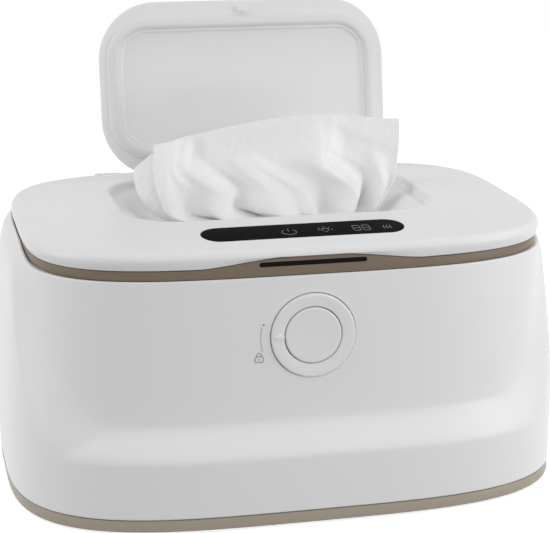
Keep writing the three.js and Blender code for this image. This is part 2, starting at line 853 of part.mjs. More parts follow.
const tubTop = flangeBottom - seam;
const tubBottom = tubTop - tubHeight;
const plateTop = tubBottom - seam;
const filmTop = plateTop - plateThickness - seam;
const padTop = filmTop - filmThickness - seam;
const padBottom = padTop - padThickness;
const warmerHalfX = tubHalfX - warmerInset;
const warmerHalfY = tubHalfY - warmerInset;
const padRibShare = 0.8;
const padRibX = warmerHalfX * padRibShare;
const warmerRect = { halfX: warmerHalfX, halfY: warmerHalfY, corner: tubCorner - warmerInset, centreY: tubCentreY };

function wipeTub() {
  const outerTop = grown(tubRect, tubWall);
  const outerBottom = grown(tubRect, tubWall - tubTaper);
  const bottomFillet = 2 * tubWall;
  const outer = loft([
    roundRectRing(grown(outerBottom, -bottomFillet), tubBottom),
    roundRectRing(grown(outerBottom, -bottomFillet / 4), tubBottom + bottomFillet / 4),
    roundRectRing(outerBottom, tubBottom + bottomFillet),
    roundRectRing(outerTop, tubTop),
  ]);
  const flange = roundRectPrism(grown(outerTop, tubFlange), tubTop - tubFlangeThickness, tubTop);
  const innerBottom = grown(tubRect, -tubTaper);
  const hollow = loft([
    roundRectRing(grown(innerBottom, -bottomFillet), tubBottom + tubWall),
    roundRectRing(grown(innerBottom, -bottomFillet / 4), tubBottom + tubWall + bottomFillet / 4),
    roundRectRing(innerBottom, tubBottom + tubWall + bottomFillet),
    roundRectRing(tubRect, tubTop + seam / 3),
  ]);
  return meshFrom('wipe_tub', cut(union(outer, flange), hollow), 'greyPlastic');
}

function heatingStack() {
  return [
    meshFrom('heater_plate', roundRectPrism(warmerRect, plateTop - plateThickness, plateTop, 5), 'aluminium'),
    meshFrom('heating_film', roundRectPrism(grown(warmerRect, -overrun), filmTop - filmThickness, filmTop, 4), 'film'),
    meshFrom('insulation_pad', roundRectPrism(warmerRect, padBottom, padTop, 5), 'foam'),
  ];
}

function temperatureSensor() {
  const backY = tubCentreY - tubHalfY - tubWall + tubTaper - seam - seam / 2;
  const half = sensorLength / 2;
  const fromZ = tubBottom + sensorLift;
  const body = block(-half, half, backY - sensorThickness, backY, fromZ, fromZ + sensorHeight);
  return meshFrom('temperature_sensor', body.translate([warmerHalfX / 2, 0, 0]), 'greyPlastic');
}

// Main board with its parts, its screws and the power inlet

const boardBottom = footProud + trayFloor + boardStandoff;
const boardTop = boardBottom + boardThickness;
const boardPostX = boardHalfX - boardPostInset;
const boardPostY = boardHalfY - boardPostInset;
const boardScrewPlaces = [[-boardPostX, boardCentreY - boardPostY], [boardPostX, boardCentreY - boardPostY]];

function mainBoard() {
  const plate = block(-boardHalfX, boardHalfX, boardCentreY - boardHalfY, boardCentreY + boardHalfY, boardBottom, boardTop);
  const rooted = boardTop - seam;
  const tallTop = boardTop + tallPartHeight;
  const chip = block(-chipHalf, chipHalf, boardCentreY - chipHalf, boardCentreY + chipHalf, rooted, boardTop + chipHeight);
  const relayY = boardCentreY + relayShiftY;
  const relay = block(relayX - relayHalfX, relayX + relayHalfX, relayY - relayHalfY, relayY + relayHalfY, rooted, tallTop);
  const capacitor = rodZ(capacitorRadius, capacitorX, boardCentreY + capacitorShiftY, rooted, tallTop, 16);
  const holes = boardScrewPlaces.map(([x, y]) => (
    rodZ(smallShankRadius + seam, x, y, boardBottom - overrun, boardTop + overrun, 16)
  ));
  return meshFrom('main_board', cut(union(plate, chip, relay, capacitor), ...holes), 'board');
}

function boardScrews() {
  const length = boardThickness + boardStandoff - overrun;
  return boardScrewPlaces.map(([x, y], index) => {
    const mesh = screw(`board_screw_${index + 1}`, 0, 0, 0, length, smallHeadRadius, smallShankRadius, smallHeadHeight);
    mesh.rotation.x = Math.PI;
    mesh.position.set(x, y, boardTop + smallHeadHeight + seam);
    return mesh;
  });
}

function powerInlet() {
  const noseFrontY = flarePlan.halfY - seam;
  const bodyToY = flarePlan.halfY - shellWall - 4 * seam;
  const bodyFromY = bodyToY - inletLength;
  const half = inletHeight / 2;
  const body = block(-inletHalfX, inletHalfX, bodyFromY, bodyToY, inletZ - half, inletZ + half);
  const nose = rodY(inletNoseRadius, bodyToY - seam, noseFrontY, 0, inletZ, 24);
  const bore = rodY(inletBoreRadius, bodyFromY + shellWall, noseFrontY + overrun, 0, inletZ, 20);
  const pin = rodY(inletPinRadius, bodyFromY + seam, noseFrontY - overrun, 0, inletZ, 10);
  return meshFrom('power_inlet', union(cut(union(body, nose), bore), pin), 'darkGloss');
}

// Lock ring, push button, spring, carrier and latch slider on the front

const lockFaceY = -panelHalfY - lockProud;
const lockBackY = lockFaceY + lockDepth + lockProud;
const buttonFaceY = -panelHalfY - buttonProud;
const carrierFloorY = lockBackY + seam;
const carrierThickness = 2;
const lockEdge = 0.8;
const lockMarkLength = 2.6;
const lockMarkWidth = 1;
const lockMarkDepth = 0.5;
const buttonPlate = 2.4;
const buttonSkirt = 1.6;
const buttonSkirtDepth = 2;
const buttonEdge = 0.6;
const buttonScrewDepth = 6;
const buttonSpringRadius = 6;
const buttonSpringTurns = 3;
const ringBore = buttonRadius + runningGap;

function lockRing() {
  const edge = lockEdge;
  const profile = [
    [ringBore, -lockBackY],
    [lockRadius, -lockBackY],
    [lockRadius, -lockFaceY - edge],
    [lockRadius - edge, -lockFaceY],
    [ringBore + edge / 2, -lockFaceY],
    [ringBore, -lockFaceY - edge / 2],
    [ringBore, -lockBackY],
  ];
  const ring = turnedY(profile, lockZ, 40);
  const markX = -(lockRadius + ringBore) / 2;
  const halfLength = lockMarkLength / 2;
  const halfWidth = lockMarkWidth / 2;
  const mark = block(
    markX - halfLength,
    markX + halfLength,
    lockFaceY - overrun,
    lockFaceY + lockMarkDepth,
    lockZ - halfWidth,
    lockZ + halfWidth,
  );
  return meshFrom('lock_ring', cut(ring, mark), 'whiteShell');
}

function lockCarrier() {
  const cupBore = lockRadius + seam;
  const cupRadius = cupBore + carrierThickness;
  const flangeRadius = cupRadius + carrierThickness;
  const flangeFrontY = -panelHalfY + shellWall + seam;
  const guideBore = stemRadius + seam;
  const guideRadius = guideBore + carrierThickness;
  const guideBackY = carrierFloorY + 2 * carrierThickness;
  const profile = [
    [guideBore, -guideBackY],
    [guideRadius, -guideBackY],
    [guideRadius, -carrierFloorY - carrierThickness],
    [cupRadius, -carrierFloorY - carrierThickness],
    [cupRadius, -flangeFrontY - carrierThickness],
    [flangeRadius, -flangeFrontY - carrierThickness],
    [flangeRadius, -flangeFrontY],
    [cupBore, -flangeFrontY],
    [cupBore, -carrierFloorY],
    [guideBore, -carrierFloorY],
    [guideBore, -guideBackY],
  ];
  return meshFrom('lock_carrier', turnedY(profile, lockZ, 28), 'greyPlastic');
}

const buttonBackY = buttonFaceY + buttonPlate;
const stemBackY = latchPlateY - seam;

function pushButton() {
  const skirtBackY = buttonBackY + buttonSkirtDepth;
  const profile = [
    [0, -stemBackY],
    [stemRadius, -stemBackY],
    [stemRadius, -buttonBackY],
    [buttonRadius - buttonSkirt, -buttonBackY],
    [buttonRadius - buttonSkirt, -skirtBackY],
    [buttonRadius, -skirtBackY],
    [buttonRadius, -buttonFaceY - buttonEdge],
    [buttonRadius - buttonEdge, -buttonFaceY],
    [0, -buttonFaceY],
  ];
  const bore = rodY(smallShankRadius + seam, stemBackY - buttonScrewDepth, stemBackY + overrun, 0, lockZ, 12);
  return meshFrom('push_button', cut(turnedY(profile, lockZ, 32), bore), 'whiteShell');
}

class CompressionSpring extends THREE.Curve {
  constructor(fromY, length, turns, radius, z) {
    super();
    Object.assign(this, { fromY, length, turns, radius, z });
  }

  getPoint(t, target = new THREE.Vector3()) {
    const angle = 2 * Math.PI * this.turns * t;
    return target.set(this.radius * Math.cos(angle), this.fromY + this.length * t, this.z + this.radius * Math.sin(angle));
  }
}

function buttonSpring() {
  const fromY = buttonBackY + seam + springWireRadius;
  const length = carrierFloorY - seam - springWireRadius - fromY;
  const curve = new CompressionSpring(fromY, length, buttonSpringTurns, buttonSpringRadius, lockZ);
  reportCoilGap('button_spring', curve, buttonSpringTurns);
  return meshFrom('button_spring', wireAlong(curve, springWireRadius, buttonSpringTurns * stepsPerTurn), 'steel');
}

const hookBottom = lidEdge - hookDrop;
const hookBarbTop = hookBottom + hookBarbHeight;
const hookBackY = hookFrontY + hookThickness;
const tongueTipY = hookBackY + hookBarb + latchPlay;
const tongueThickness = 2.2;
const screwStandoff = 3.2;
const linerBossRadius = 3.4;
const tongueBottom = hookBarbTop + seam;

function latchSlider() {
  const half = latchWidth / 2;
  const plateBottom = lockZ - half / 2;
  const top = tongueBottom + tongueThickness;
  const plate = block(-half, half, latchPlateY, latchPlateY + latchPlateThickness, plateBottom, top);
  const tongue = block(-half, half, tongueTipY, latchPlateY + seam, tongueBottom, top);
  const bore = rodY(smallShankRadius + seam, latchPlateY - overrun, latchPlateY + latchPlateThickness + overrun, 0, lockZ, 12);
  return meshFrom('latch_slider', cut(union(plate, tongue), bore), 'greyPlastic');
}

function latchScrew() {
  const mesh = screw('latch_screw', 0, 0, 0, latchPlateThickness + overrun, smallHeadRadius, smallShankRadius, smallHeadHeight);
  mesh.rotation.x = Math.PI / 2;
  mesh.position.set(0, latchPlateY + latchPlateThickness + seam + smallHeadHeight, lockZ);
  return mesh;
}

// Lid

function domeLevels(extraInset, filletSteps) {
  const levels = [];
  const radius = lidFillet - extraInset;
  for (let step = 0; step <= filletSteps; step += 1) {
    const angle = (Math.PI / 2) * (step / filletSteps);
    levels.push({
      inset: extraInset + radius * (1 - Math.cos(angle)),
      z: shoulderZ - lidFillet + radius * Math.sin(angle),
    });
  }
  return levels;
}

const outerDomeShares = [0.94, 0.87, 0.78, 0.65, 0.4];
const innerDomeShares = [0.88, 0.7, 0.4];

function domeBlock(bottomZ, extraInset, filletSteps = 3, shares = outerDomeShares) {
  const rings = [planRing(inset(lidPlan, extraInset), bottomZ)];
  for (const level of domeLevels(extraInset, filletSteps)) {
    rings.push(planRing(inset(lidPlan, level.inset), level.z));
  }
  for (const share of shares) {
    const base = inset(lidPlan, lidFillet);
    const outline = { ...base, halfX: base.halfX * share, halfY: base.halfY * share };
    rings.push(planRing(outline, shoulderZ - extraInset + lidCrown * (1 - share ** 4)));
  }
  return loft(rings);
}

const bowlRect = { halfX: bowlHalfX, halfY: bowlHalfY, corner: bowlCorner, centreY: bowlCentreY };
const bowlFloorEdgeZ = bowlRimZ - bowlWallDepth;
const bowlInsetShares = [0.08, 0.18, 0.32, 0.55, 0.85];

function bowlFloor(distance) {
  return bowlFloorEdgeZ - bowlSink * (1 - Math.exp(-distance / bowlFallLength));
}

function bowlSolid(growth, drop) {
  const rings = [];
  for (const share of [...bowlInsetShares].reverse()) {
    const distance = bowlHalfY * share;
    rings.push(roundRectRing(grown(bowlRect, growth - distance), bowlFloor(distance) - drop));
  }
  rings.push(roundRectRing(grown(bowlRect, growth), bowlFloorEdgeZ - drop));
  return rings;
}

function bowlCavity() {
  const chamferTop = bowlRimZ + 2 * overrun;
  const chamferBottom = bowlRimZ - bowlRimChamfer;
  return loft([
    ...bowlSolid(0, 0),
    roundRectRing(bowlRect, chamferBottom),
    roundRectRing(grown(bowlRect, chamferTop - chamferBottom), chamferTop),
  ]);
}

function bowlBody() {
  return loft([...bowlSolid(bowlWall, bowlWall), roundRectRing(grown(bowlRect, bowlWall), bowlRimZ + overrun)]);
}

function stadium(halfX, halfY, centreY, fromZ, toZ) {
  return roundRectPrism({ halfX, halfY, corner: halfY, centreY }, fromZ, toZ, 6);
}

const gatePadBottom = bowlFloor(bowlHalfY) - bowlWall;
const coverHingeZ = bowlRimZ - coverHingeDrop;
const linerBottom = lidEdge + seam;
const linerThickness = 2.4;
const linerTop = linerBottom + linerThickness;

// The liner screws keep their places beside the gasket and behind the front edge of the lid
const gasketReachX = 6;
const gasketReachY = 5.5;
const gasketRect = {
  halfX: tubHalfX + gasketReachX,
  halfY: tubHalfY + gasketReachY,
  corner: tubCorner + gasketReachX,
  centreY: tubCentreY,
};
const sideScrewInset = 7.5;
const rearScrewInset = 24;
const middleScrewInset = 6;
const frontScrewInset = 49.5;
const frontScrewSetback = 10.3;
const sideScrewX = gasketRect.halfX - sideScrewInset;
const rearScrewY = gasketRect.centreY + gasketRect.halfY - rearScrewInset;
const middleScrewY = gasketRect.centreY - gasketRect.halfY + middleScrewInset;
const frontScrewX = gasketRect.halfX - frontScrewInset;
const frontScrewY = lidShiftY - lidHalfY + frontScrewSetback;
const linerScrewPlaces = [
  [-sideScrewX, rearScrewY],
  [sideScrewX, rearScrewY],
  [-sideScrewX, middleScrewY],
  [sideScrewX, middleScrewY],
  [-frontScrewX, frontScrewY],
  [frontScrewX, frontScrewY],
];

function coverLugSpans() {
  const half = coverKnuckleLength / 2;
  const spans = [];
  for (const side of sides) {
    const outer = coverKnuckleX + half + runningGap;
    const inner = coverKnuckleX - half - runningGap;
    spans.push(spanX(side, outer, outer + coverLugLength));
    spans.push(spanX(side, inner - coverLugLength, inner));
  }
  return spans;
}

function coverLugs() {
  const wallY = bowlCentreY + bowlHalfY + bowlWall / 2;
  return coverLugSpans().map(([fromX, toX]) => union(
    rodX(coverKnuckleRadius, fromX, toX, coverHingeY, coverHingeZ),
    block(fromX, toX, coverHingeY, wallY, coverHingeZ - coverKnuckleRadius - overrun, coverHingeZ + coverKnuckleRadius - seam),
    block(fromX, toX, coverHingeY - coverKnuckleRadius, wallY, coverHingeZ - coverTroughRadius - seam, coverHingeZ),
  ));
}

function coverPinSpans() {
  const half = coverKnuckleLength / 2 + runningGap + coverLugLength;
  return sides.map((side) => spanX(side, coverKnuckleX - half, coverKnuckleX + half));
}

function coverPinBores() {
  const radius = coverPinRadius + seam;
  return coverPinSpans().map(([fromX, toX]) => rodX(radius, fromX - seam, toX + seam, coverHingeY, coverHingeZ, 14));
}

function hingeArms() {
  return sides.map((side) => {
    const [fromX, toX] = spanX(side, knuckleFrom, knuckleTo);
    const fromY = lidShiftY + lidHalfY - lidWall + seam;
    const bottom = rimSide + 2 * seam;
    return union(
      block(fromX, toX, fromY, hingeY, bottom, hingeZ + hingeArmTop),
      rodX(hingeRadius, fromX, toX, hingeY, hingeZ),
    );
  });
}

function lidShell() {
  const outer = domeBlock(lidEdge, 0);
  const tall = domeBlock(lidEdge - hookDrop, 0);
  const inner = domeBlock(lidEdge - overrun, lidWall, 1, innerDomeShares);
  const troughEnd = coverKnuckleX + coverKnuckleLength / 2 + coverLugLength + 3 * runningGap;
  const pad = stadium(gateHalfX + gateFrameMargin, gateHalfY + gateFrameMargin, 0, gatePadBottom, bowlFloorEdgeZ);
  const trough = rodX(coverTroughRadius + bowlWall, -troughEnd - bowlWall, troughEnd + bowlWall, coverHingeY, coverHingeZ, 24);
  const bosses = linerScrewPlaces.map(([x, y]) => rodZ(linerBossRadius, x, y, linerTop + seam, shoulderZ + lidCrown, 16));
  const additions = union(bowlBody(), pad, trough, ...bosses).intersect(tall);
  const lensPocket = stadium(lensHalfX + seam, lensHalfY + seam, lensCentreY, shoulderZ - lidWall, shoulderZ + 2 * lidCrown);
  const belowLens = tall.translate([0, 0, -lensThickness - seam]);
  const lidFrontY = lidShiftY - lidHalfY;
  const archCut = archSolid(lidEdge, lidEdge - overrun, lidFrontY - overrun, lidFrontY + lidWall + 5 * seam);
  const shell = cut(
    union(cut(outer, inner), additions, ...hingeArms()),
    bowlCavity(),
    rodX(coverTroughRadius, -troughEnd, troughEnd, coverHingeY, coverHingeZ, 24),
    stadium(gateHalfX, gateHalfY, 0, gatePadBottom - overrun, bowlRimZ),
    cut(lensPocket, belowLens),
    archCut,
  );
  const bores = linerScrewPlaces.map(([x, y]) => rodZ(smallShankRadius + seam, x, y, linerTop, screwTipZ + seam, 12));
  const drilled = cut(union(shell, ...coverLugs()), ...bores, ...coverPinBores(), ...hingeBores());
  return meshFrom('lid_shell', drilled, 'whiteShell');
}

function controlLens() {
  const tall = domeBlock(lidEdge - hookDrop, 0);
  const slab = stadium(lensHalfX, lensHalfY, lensCentreY, shoulderZ - lidWall, shoulderZ + 2 * lidCrown);
  const lens = cut(slab.intersect(tall), tall.translate([0, 0, -lensThickness]));
  return meshFrom('control_lens', lens, 'darkGloss');
}

function touchBoard() {
  const slope = (4 * lidCrown * lensShare ** 3) / (lidHalfY - lidFillet);
  const group = new THREE.Group();
  const board = stadium(lensHalfX - overrun, lensHalfY - overrun, 0, -touchBoardThickness, 0);
  group.add(meshFrom('touch_board', board, 'board'));
  group.position.set(0, lensCentreY, lensSurfaceZ - lidWall - seam * 2);
  group.rotation.x = Math.atan(slope);
  return group;
}

const lensShare = Math.abs(lensCentreY - lidShiftY) / (lidHalfY - lidFillet);
const lensSurfaceZ = shoulderZ + lidCrown * (1 - lensShare ** 4);

// Lid underside: liner with its gasket, the silicone gate with its clamp frame, and the latch hook

const gasketWidth = 3;
const gasketGroove = 1.2;
const linerScrewHeadZ = linerBottom + seam / 2;
const screwTipZ = linerTop + screwStandoff;

function lidLiner() {
  const plate = prism(inset(lidPlan, lidWall + seam), linerBottom, linerTop);
  const opening = roundRectPrism(grown(bowlRect, bowlWall + 2 * seam), linerBottom - overrun, linerTop + overrun);
  const half = gasketWidth / 2 + seam;
  const groove = beadLoop(gasketRect, [
    [-half, linerBottom - overrun],
    [half, linerBottom - overrun],
    [half, linerBottom + gasketGroove],
    [-half, linerBottom + gasketGroove],
  ]);
  const slotHalf = hookWidth / 2 + seam;
  const hookSlot = block(-slotHalf, slotHalf, hookFrontY - seam, hookBackY + seam, linerBottom - overrun, linerTop + overrun);
  const holes = [];
  for (const [x, y] of linerScrewPlaces) {
    holes.push(rodZ(smallShankRadius + seam, x, y, linerBottom - overrun, linerTop + overrun, 12));
    holes.push(rodZ(smallHeadRadius + seam, x, y, linerBottom - overrun, linerScrewHeadZ + smallHeadHeight + seam, 16));
  }
  return meshFrom('lid_liner', cut(plate, opening, groove, hookSlot, ...holes), 'greyPlastic');
}

function lidGasket() {
  const half = gasketWidth / 2;
  const top = linerBottom + gasketGroove - seam;
  const bottom = flangeTop + seam;
  const section = [
    [-half, top],
    [-half, bottom + half / 2],
    [-half / 2, bottom],
    [half / 2, bottom],
    [half, bottom + half / 2],
    [half, top],
  ];
  return meshFrom('lid_gasket', beadLoop(gasketRect, section), 'silicone');
}

function linerScrews() {
  return linerScrewPlaces.map(([x, y], index) => screw(
    `liner_screw_${index + 1}`,
    x,
    y,
    linerScrewHeadZ,
    screwTipZ - linerScrewHeadZ - smallHeadHeight,
    smallHeadRadius,
    smallShankRadius,
    smallHeadHeight,
  ));
}

const gateTop = gatePadBottom - seam;

function wipeGate() {
  const membrane = stadium(gateHalfX + gateLap, gateHalfY + gateLap, 0, gateTop - gateThickness, gateTop);
  const slit = stadium(slitHalfX, slitHalfWidth, 0, gateTop - gateThickness - overrun, gateTop + overrun);
  return meshFrom('wipe_gate', cut(membrane, slit), 'silicone');
}

function gateFrame() {
  const top = gateTop - gateThickness - seam;
  const plate = stadium(gateHalfX + gateFrameMargin, gateHalfY + gateFrameMargin, 0, top - gateFrameThickness, top);
  const opening = stadium(gateHalfX, gateHalfY, 0, top - gateFrameThickness - overrun, top + overrun);
  return meshFrom('gate_frame', cut(plate, opening), 'greyPlastic');
}

function latchHook() {
  const half = hookWidth / 2;
  const headBottom = linerTop + seam;
  const shoulderTop = linerBottom - seam;
  const leg = block(-half, half, hookFrontY, hookBackY, hookBottom, headBottom + seam);
  const head = block(-half - overrun, half + overrun, hookFrontY - overrun, hookBackY + overrun, headBottom, headBottom + hookHeadHeight);
  const shoulder = block(-half - overrun, half + overrun, hookFrontY - seam, hookBackY + seam, shoulderTop - hookThickness, shoulderTop);
  const barb = new THREE.Shape();
  barb.moveTo(0, 0);
  barb.lineTo(hookBarb, hookBarbHeight);
  barb.lineTo(-seam, hookBarbHeight);
  barb.lineTo(-seam, 0);
  barb.closePath();
  const wedge = new THREE.ExtrudeGeometry(barb, { depth: hookWidth, bevelEnabled: false });
  wedge.rotateX(Math.PI / 2);
  wedge.rotateZ(Math.PI / 2);
  wedge.translate(-half, hookBackY, hookBottom);
  return meshFrom('latch_hook', union(leg, head, shoulder, solidFrom(wedge)), 'greyPlastic');
}

// Flip cover, drawn closed and then swung open about its hinge pins

const coverRect = {
  halfX: bowlHalfX - coverGap,
  halfY: coverLength / 2,
  corner: coverCorner,
  centreY: coverHingeY - coverHingeSetback - coverLength / 2,
};
const coverTop = bowlRimZ;
const coverUnderside = coverTop - coverThickness;
const coverBeadRect = {
  halfX: coverRect.halfX - coverMarginX - coverBeadWidth / 2,
  halfY: coverRect.halfY - coverMarginY - coverBeadWidth / 2,
  corner: coverCorner - coverMarginY - coverBeadWidth / 2,
  centreY: coverRect.centreY - coverBeadShift,
};

function coverGroup() {
  const group = new THREE.Group();
  group.position.set(0, coverHingeY, coverHingeZ);
  group.rotation.x = THREE.MathUtils.degToRad(-coverOpenAngle);
  const closed = new THREE.Group();
  closed.position.set(0, -coverHingeY, -coverHingeZ);
  closed.add(flipCover(), coverSeal());
  group.add(closed);
  return group;
}

function flipCover() {
  const edge = coverEdgeRound;
  const crownDrop = seam;
  const plate = loft([
    roundRectRing(grown(coverRect, -edge / 2), coverUnderside),
    roundRectRing(coverRect, coverUnderside + edge / 2),
    roundRectRing(coverRect, coverTop - edge - crownDrop),
    roundRectRing(grown(coverRect, -edge / 3), coverTop - edge / 3 - crownDrop),
    roundRectRing(grown(coverRect, -edge), coverTop - crownDrop),
    roundRectRing(grown(coverRect, -coverRect.halfY / 2), coverTop),
  ]);
  const knuckles = [];
  for (const side of sides) {
    const half = coverKnuckleLength / 2;
    const [fromX, toX] = spanX(side, coverKnuckleX - half, coverKnuckleX + half);
    const armFromY = coverHingeY - coverHingeSetback - overrun;
    knuckles.push(block(fromX, toX, armFromY, coverHingeY, coverUnderside + seam, coverTop - 2 * seam));
    knuckles.push(rodX(coverKnuckleRadius, fromX, toX, coverHingeY, coverHingeZ));
  }
  const panel = roundRectPrism(
    grown(coverBeadRect, -coverBeadWidth / 2 - seam),
    coverUnderside - overrun,
    coverUnderside + coverPanelDepth,
  );
  const half = coverBeadWidth / 2 + seam / 2;
  const groove = beadLoop(coverBeadRect, [
    [-half, coverUnderside - overrun],
    [half, coverUnderside - overrun],
    [half, coverUnderside + coverGroove],
    [-half, coverUnderside + coverGroove],
  ]);
  const claspY = coverRect.centreY - coverRect.halfY + edge;
  const clasp = block(
    -claspWidth / 2,
    claspWidth / 2,
    claspY,
    claspY + claspThickness,
    coverUnderside - claspHeight,
    coverUnderside + seam,
  );
  const lugRoom = coverLugSpans().map(([fromX, toX]) => rodX(
    coverKnuckleRadius + 2 * runningGap,
    fromX - runningGap,
    toX + runningGap,
    coverHingeY,
    coverHingeZ,
  ));
  const backRoom = coverLugSpans().map(([fromX, toX]) => block(
    fromX - runningGap,
    toX + runningGap,
    coverHingeY - coverKnuckleRadius - 2 * runningGap,
    coverRect.centreY + coverRect.halfY + overrun,
    coverUnderside - overrun,
    coverTop + overrun,
  ));
  const whole = union(cut(plate, panel, groove), ...knuckles, clasp);
  return meshFrom('flip_cover', cut(whole, ...lugRoom, ...backRoom, ...coverPinBores()), 'whiteShell');
}

function coverSeal() {
  const half = coverBeadWidth / 2;
  const top = coverUnderside + coverGroove - seam;
  const bottom = coverUnderside - coverBeadHeight;
  const section = [
    [-half, top],
    [-half, bottom + half],
    [-half / 2, bottom + half / 4],
    [0, bottom],
    [half / 2, bottom + half / 4],
    [half, bottom + half],
    [half, top],
  ];
  return meshFrom('cover_seal', beadLoop(coverBeadRect, section), 'silicone');
}

function coverPins() {
  return coverPinSpans().map(([fromX, toX], index) => meshFrom(
    index === 0 ? 'cover_pin_left' : 'cover_pin_right',
    rodX(coverPinRadius, fromX, toX, coverHingeY, coverHingeZ, 12),
    'steel',
  ));
}

// The wipe that stands in the gate: one thin sheet, gathered straight in the slit and spreading above it into deep folds.
// The fold lines are plans of the sheet at its middle height and at its top, left to right.

const wipeThickness = 1;
const wipeTail = 9;
const wipeSpreadHeight = 16;
const wipeMiddleHeight = 27;
const wipeTopHeight = 50;
const wipeMiddleLine = [
  [-42, 4], [-53, 4], [-58, -1], [-52, -7], [-40, -7], [-29, -2], [-17, 5], [-5, 4], [5, -4], [17, -8], [29, -4],
  [39, 4], [48, 3], [54, -4], [60, -5],
];
const wipeTopLine = [
  [-50, 17], [-60, 16], [-64, 11], [-57, 5], [-47, 3], [-38, 8], [-28, 16], [-17, 16], [-6, 9], [6, 5], [18, 9],
  [30, 18], [42, 19], [52, 12], [61, 10],
];
const wipeRiseShares = [0.48, 0.52, 0.6, 0.74, 0.82, 0.87, 0.91, 0.94, 0.97, 0.99, 1, 0.99, 0.97, 0.94, 0.91];

function foldCurve(line) {
  return new THREE.CatmullRomCurve3(line.map(([x, y]) => new THREE.Vector3(x, y, 0)));
}

const wipeMiddle = foldCurve(wipeMiddleLine);
const wipeTop = foldCurve(wipeTopLine);

function wipePoint(u, row, rows) {
  const free = gateTop + 2 * seam;
  const slitHalf = slitHalfX - 2 * runningGap;
  const straight = new THREE.Vector3((2 * u - 1) * slitHalf, 0, 0);
  if (row === 0) {
    return straight.setZ(gateTop - wipeTail);
  }
  const place = u * (wipeRiseShares.length - 1);
  const before = Math.min(Math.floor(place), wipeRiseShares.length - 2);
  const edgeShare = THREE.MathUtils.lerp(wipeRiseShares[before], wipeRiseShares[before + 1], place - before);
  const height = (wipeTopHeight * edgeShare * (row - 1)) / (rows - 1);
  const middle = wipeMiddle.getPoint(u);
  const spread = smooth(height / wipeSpreadHeight);
  const upper = Math.max(height - wipeMiddleHeight, 0) / (wipeTopHeight - wipeMiddleHeight);
  const point = straight.lerp(middle, spread).lerp(wipeTop.getPoint(u), Math.max(upper, 0));
  return point.setZ(free + height);
}

function wipeSheet() {
  const across = 34;
  const up = 9;
  const front = [];
  const back = [];
  for (let row = 0; row <= up; row += 1) {
    for (let column = 0; column <= across; column += 1) {
      const point = wipePoint(column / across, row, up);
      const before = wipePoint(Math.max(column - 1, 0) / across, row, up);
      const after = wipePoint(Math.min(column + 1, across) / across, row, up);
      const run = Math.hypot(after.x - before.x, after.y - before.y);
      const offX = ((after.y - before.y) / run) * (wipeThickness / 2);
      const offY = (-(after.x - before.x) / run) * (wipeThickness / 2);
      front.push([point.x + offX, point.y + offY, point.z]);
      back.push([point.x - offX, point.y - offY, point.z]);
    }
  }
  const positions = [...front, ...back].flat();
  const indices = [];
  const width = across + 1;
  const offset = front.length;
  const quad = (a, b, c, d) => indices.push(a, b, c, a, c, d);
  for (let row = 0; row < up; row += 1) {
    for (let column = 0; column < across; column += 1) {
      const a = row * width + column;
      quad(a, a + 1, a + width + 1, a + width);
      quad(offset + a, offset + a + width, offset + a + width + 1, offset + a + 1);
    }
  }
  for (let column = 0; column < across; column += 1) {
    const topRow = up * width + column;
    quad(column, offset + column, offset + column + 1, column + 1);
    quad(topRow, topRow + 1, offset + topRow + 1, offset + topRow);
  }
  for (let row = 0; row < up; row += 1) {
    const left = row * width;
    const right = left + across;
    quad(left, left + width, offset + left + width, offset + left);
    quad(right, offset + right, offset + right + width, right + width);
  }
  const geometry = new THREE.BufferGeometry();
  geometry.setAttribute('position', new THREE.Float32BufferAttribute(positions, 3));
  geometry.setIndex(indices);
  return meshFrom('wipe_sheet', solidFrom(geometry), 'wipe');
}

// The whole warmer

const warmer = new THREE.Group();

const baseGroup = new THREE.Group();
baseGroup.add(
  baseTray(),
  ...rubberFeet(),
  ...baseScrews(),
  outerHousing(),
  trimFrame(),
  frontWindow(),
  wipeTub(),
  ...heatingStack(),
  temperatureSensor(),
  mainBoard(),
  ...boardScrews(),
  powerInlet(),
  lockCarrier(),
  buttonSpring(),
  ...hingePins(),
  ...lidSprings(),
);

const frontGroup = new THREE.Group();
frontGroup.add(lockRing(), pushButton(), latchSlider(), latchScrew());

const lidGroup = new THREE.Group();
lidGroup.add(
  lidShell(),
  controlLens(),
  touchBoard(),
  lidLiner(),
  lidGasket(),
  ...linerScrews(),
  wipeGate(),
  gateFrame(),
  latchHook(),
  ...coverPins(),
  wipeSheet(),
  coverGroup(),
);

warmer.add(baseGroup, frontGroup, lidGroup);

export default warmer;
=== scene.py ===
"""Baby wipe warmer: the visual model on the packed CAD frame, with its materials, lights and camera."""

import bpy
import bmesh
import math
import numpy as np
from bpy.props import FloatProperty, FloatVectorProperty, IntProperty, PointerProperty
from bpy.types import Operator, Panel, PropertyGroup
from mathutils import Matrix, Vector


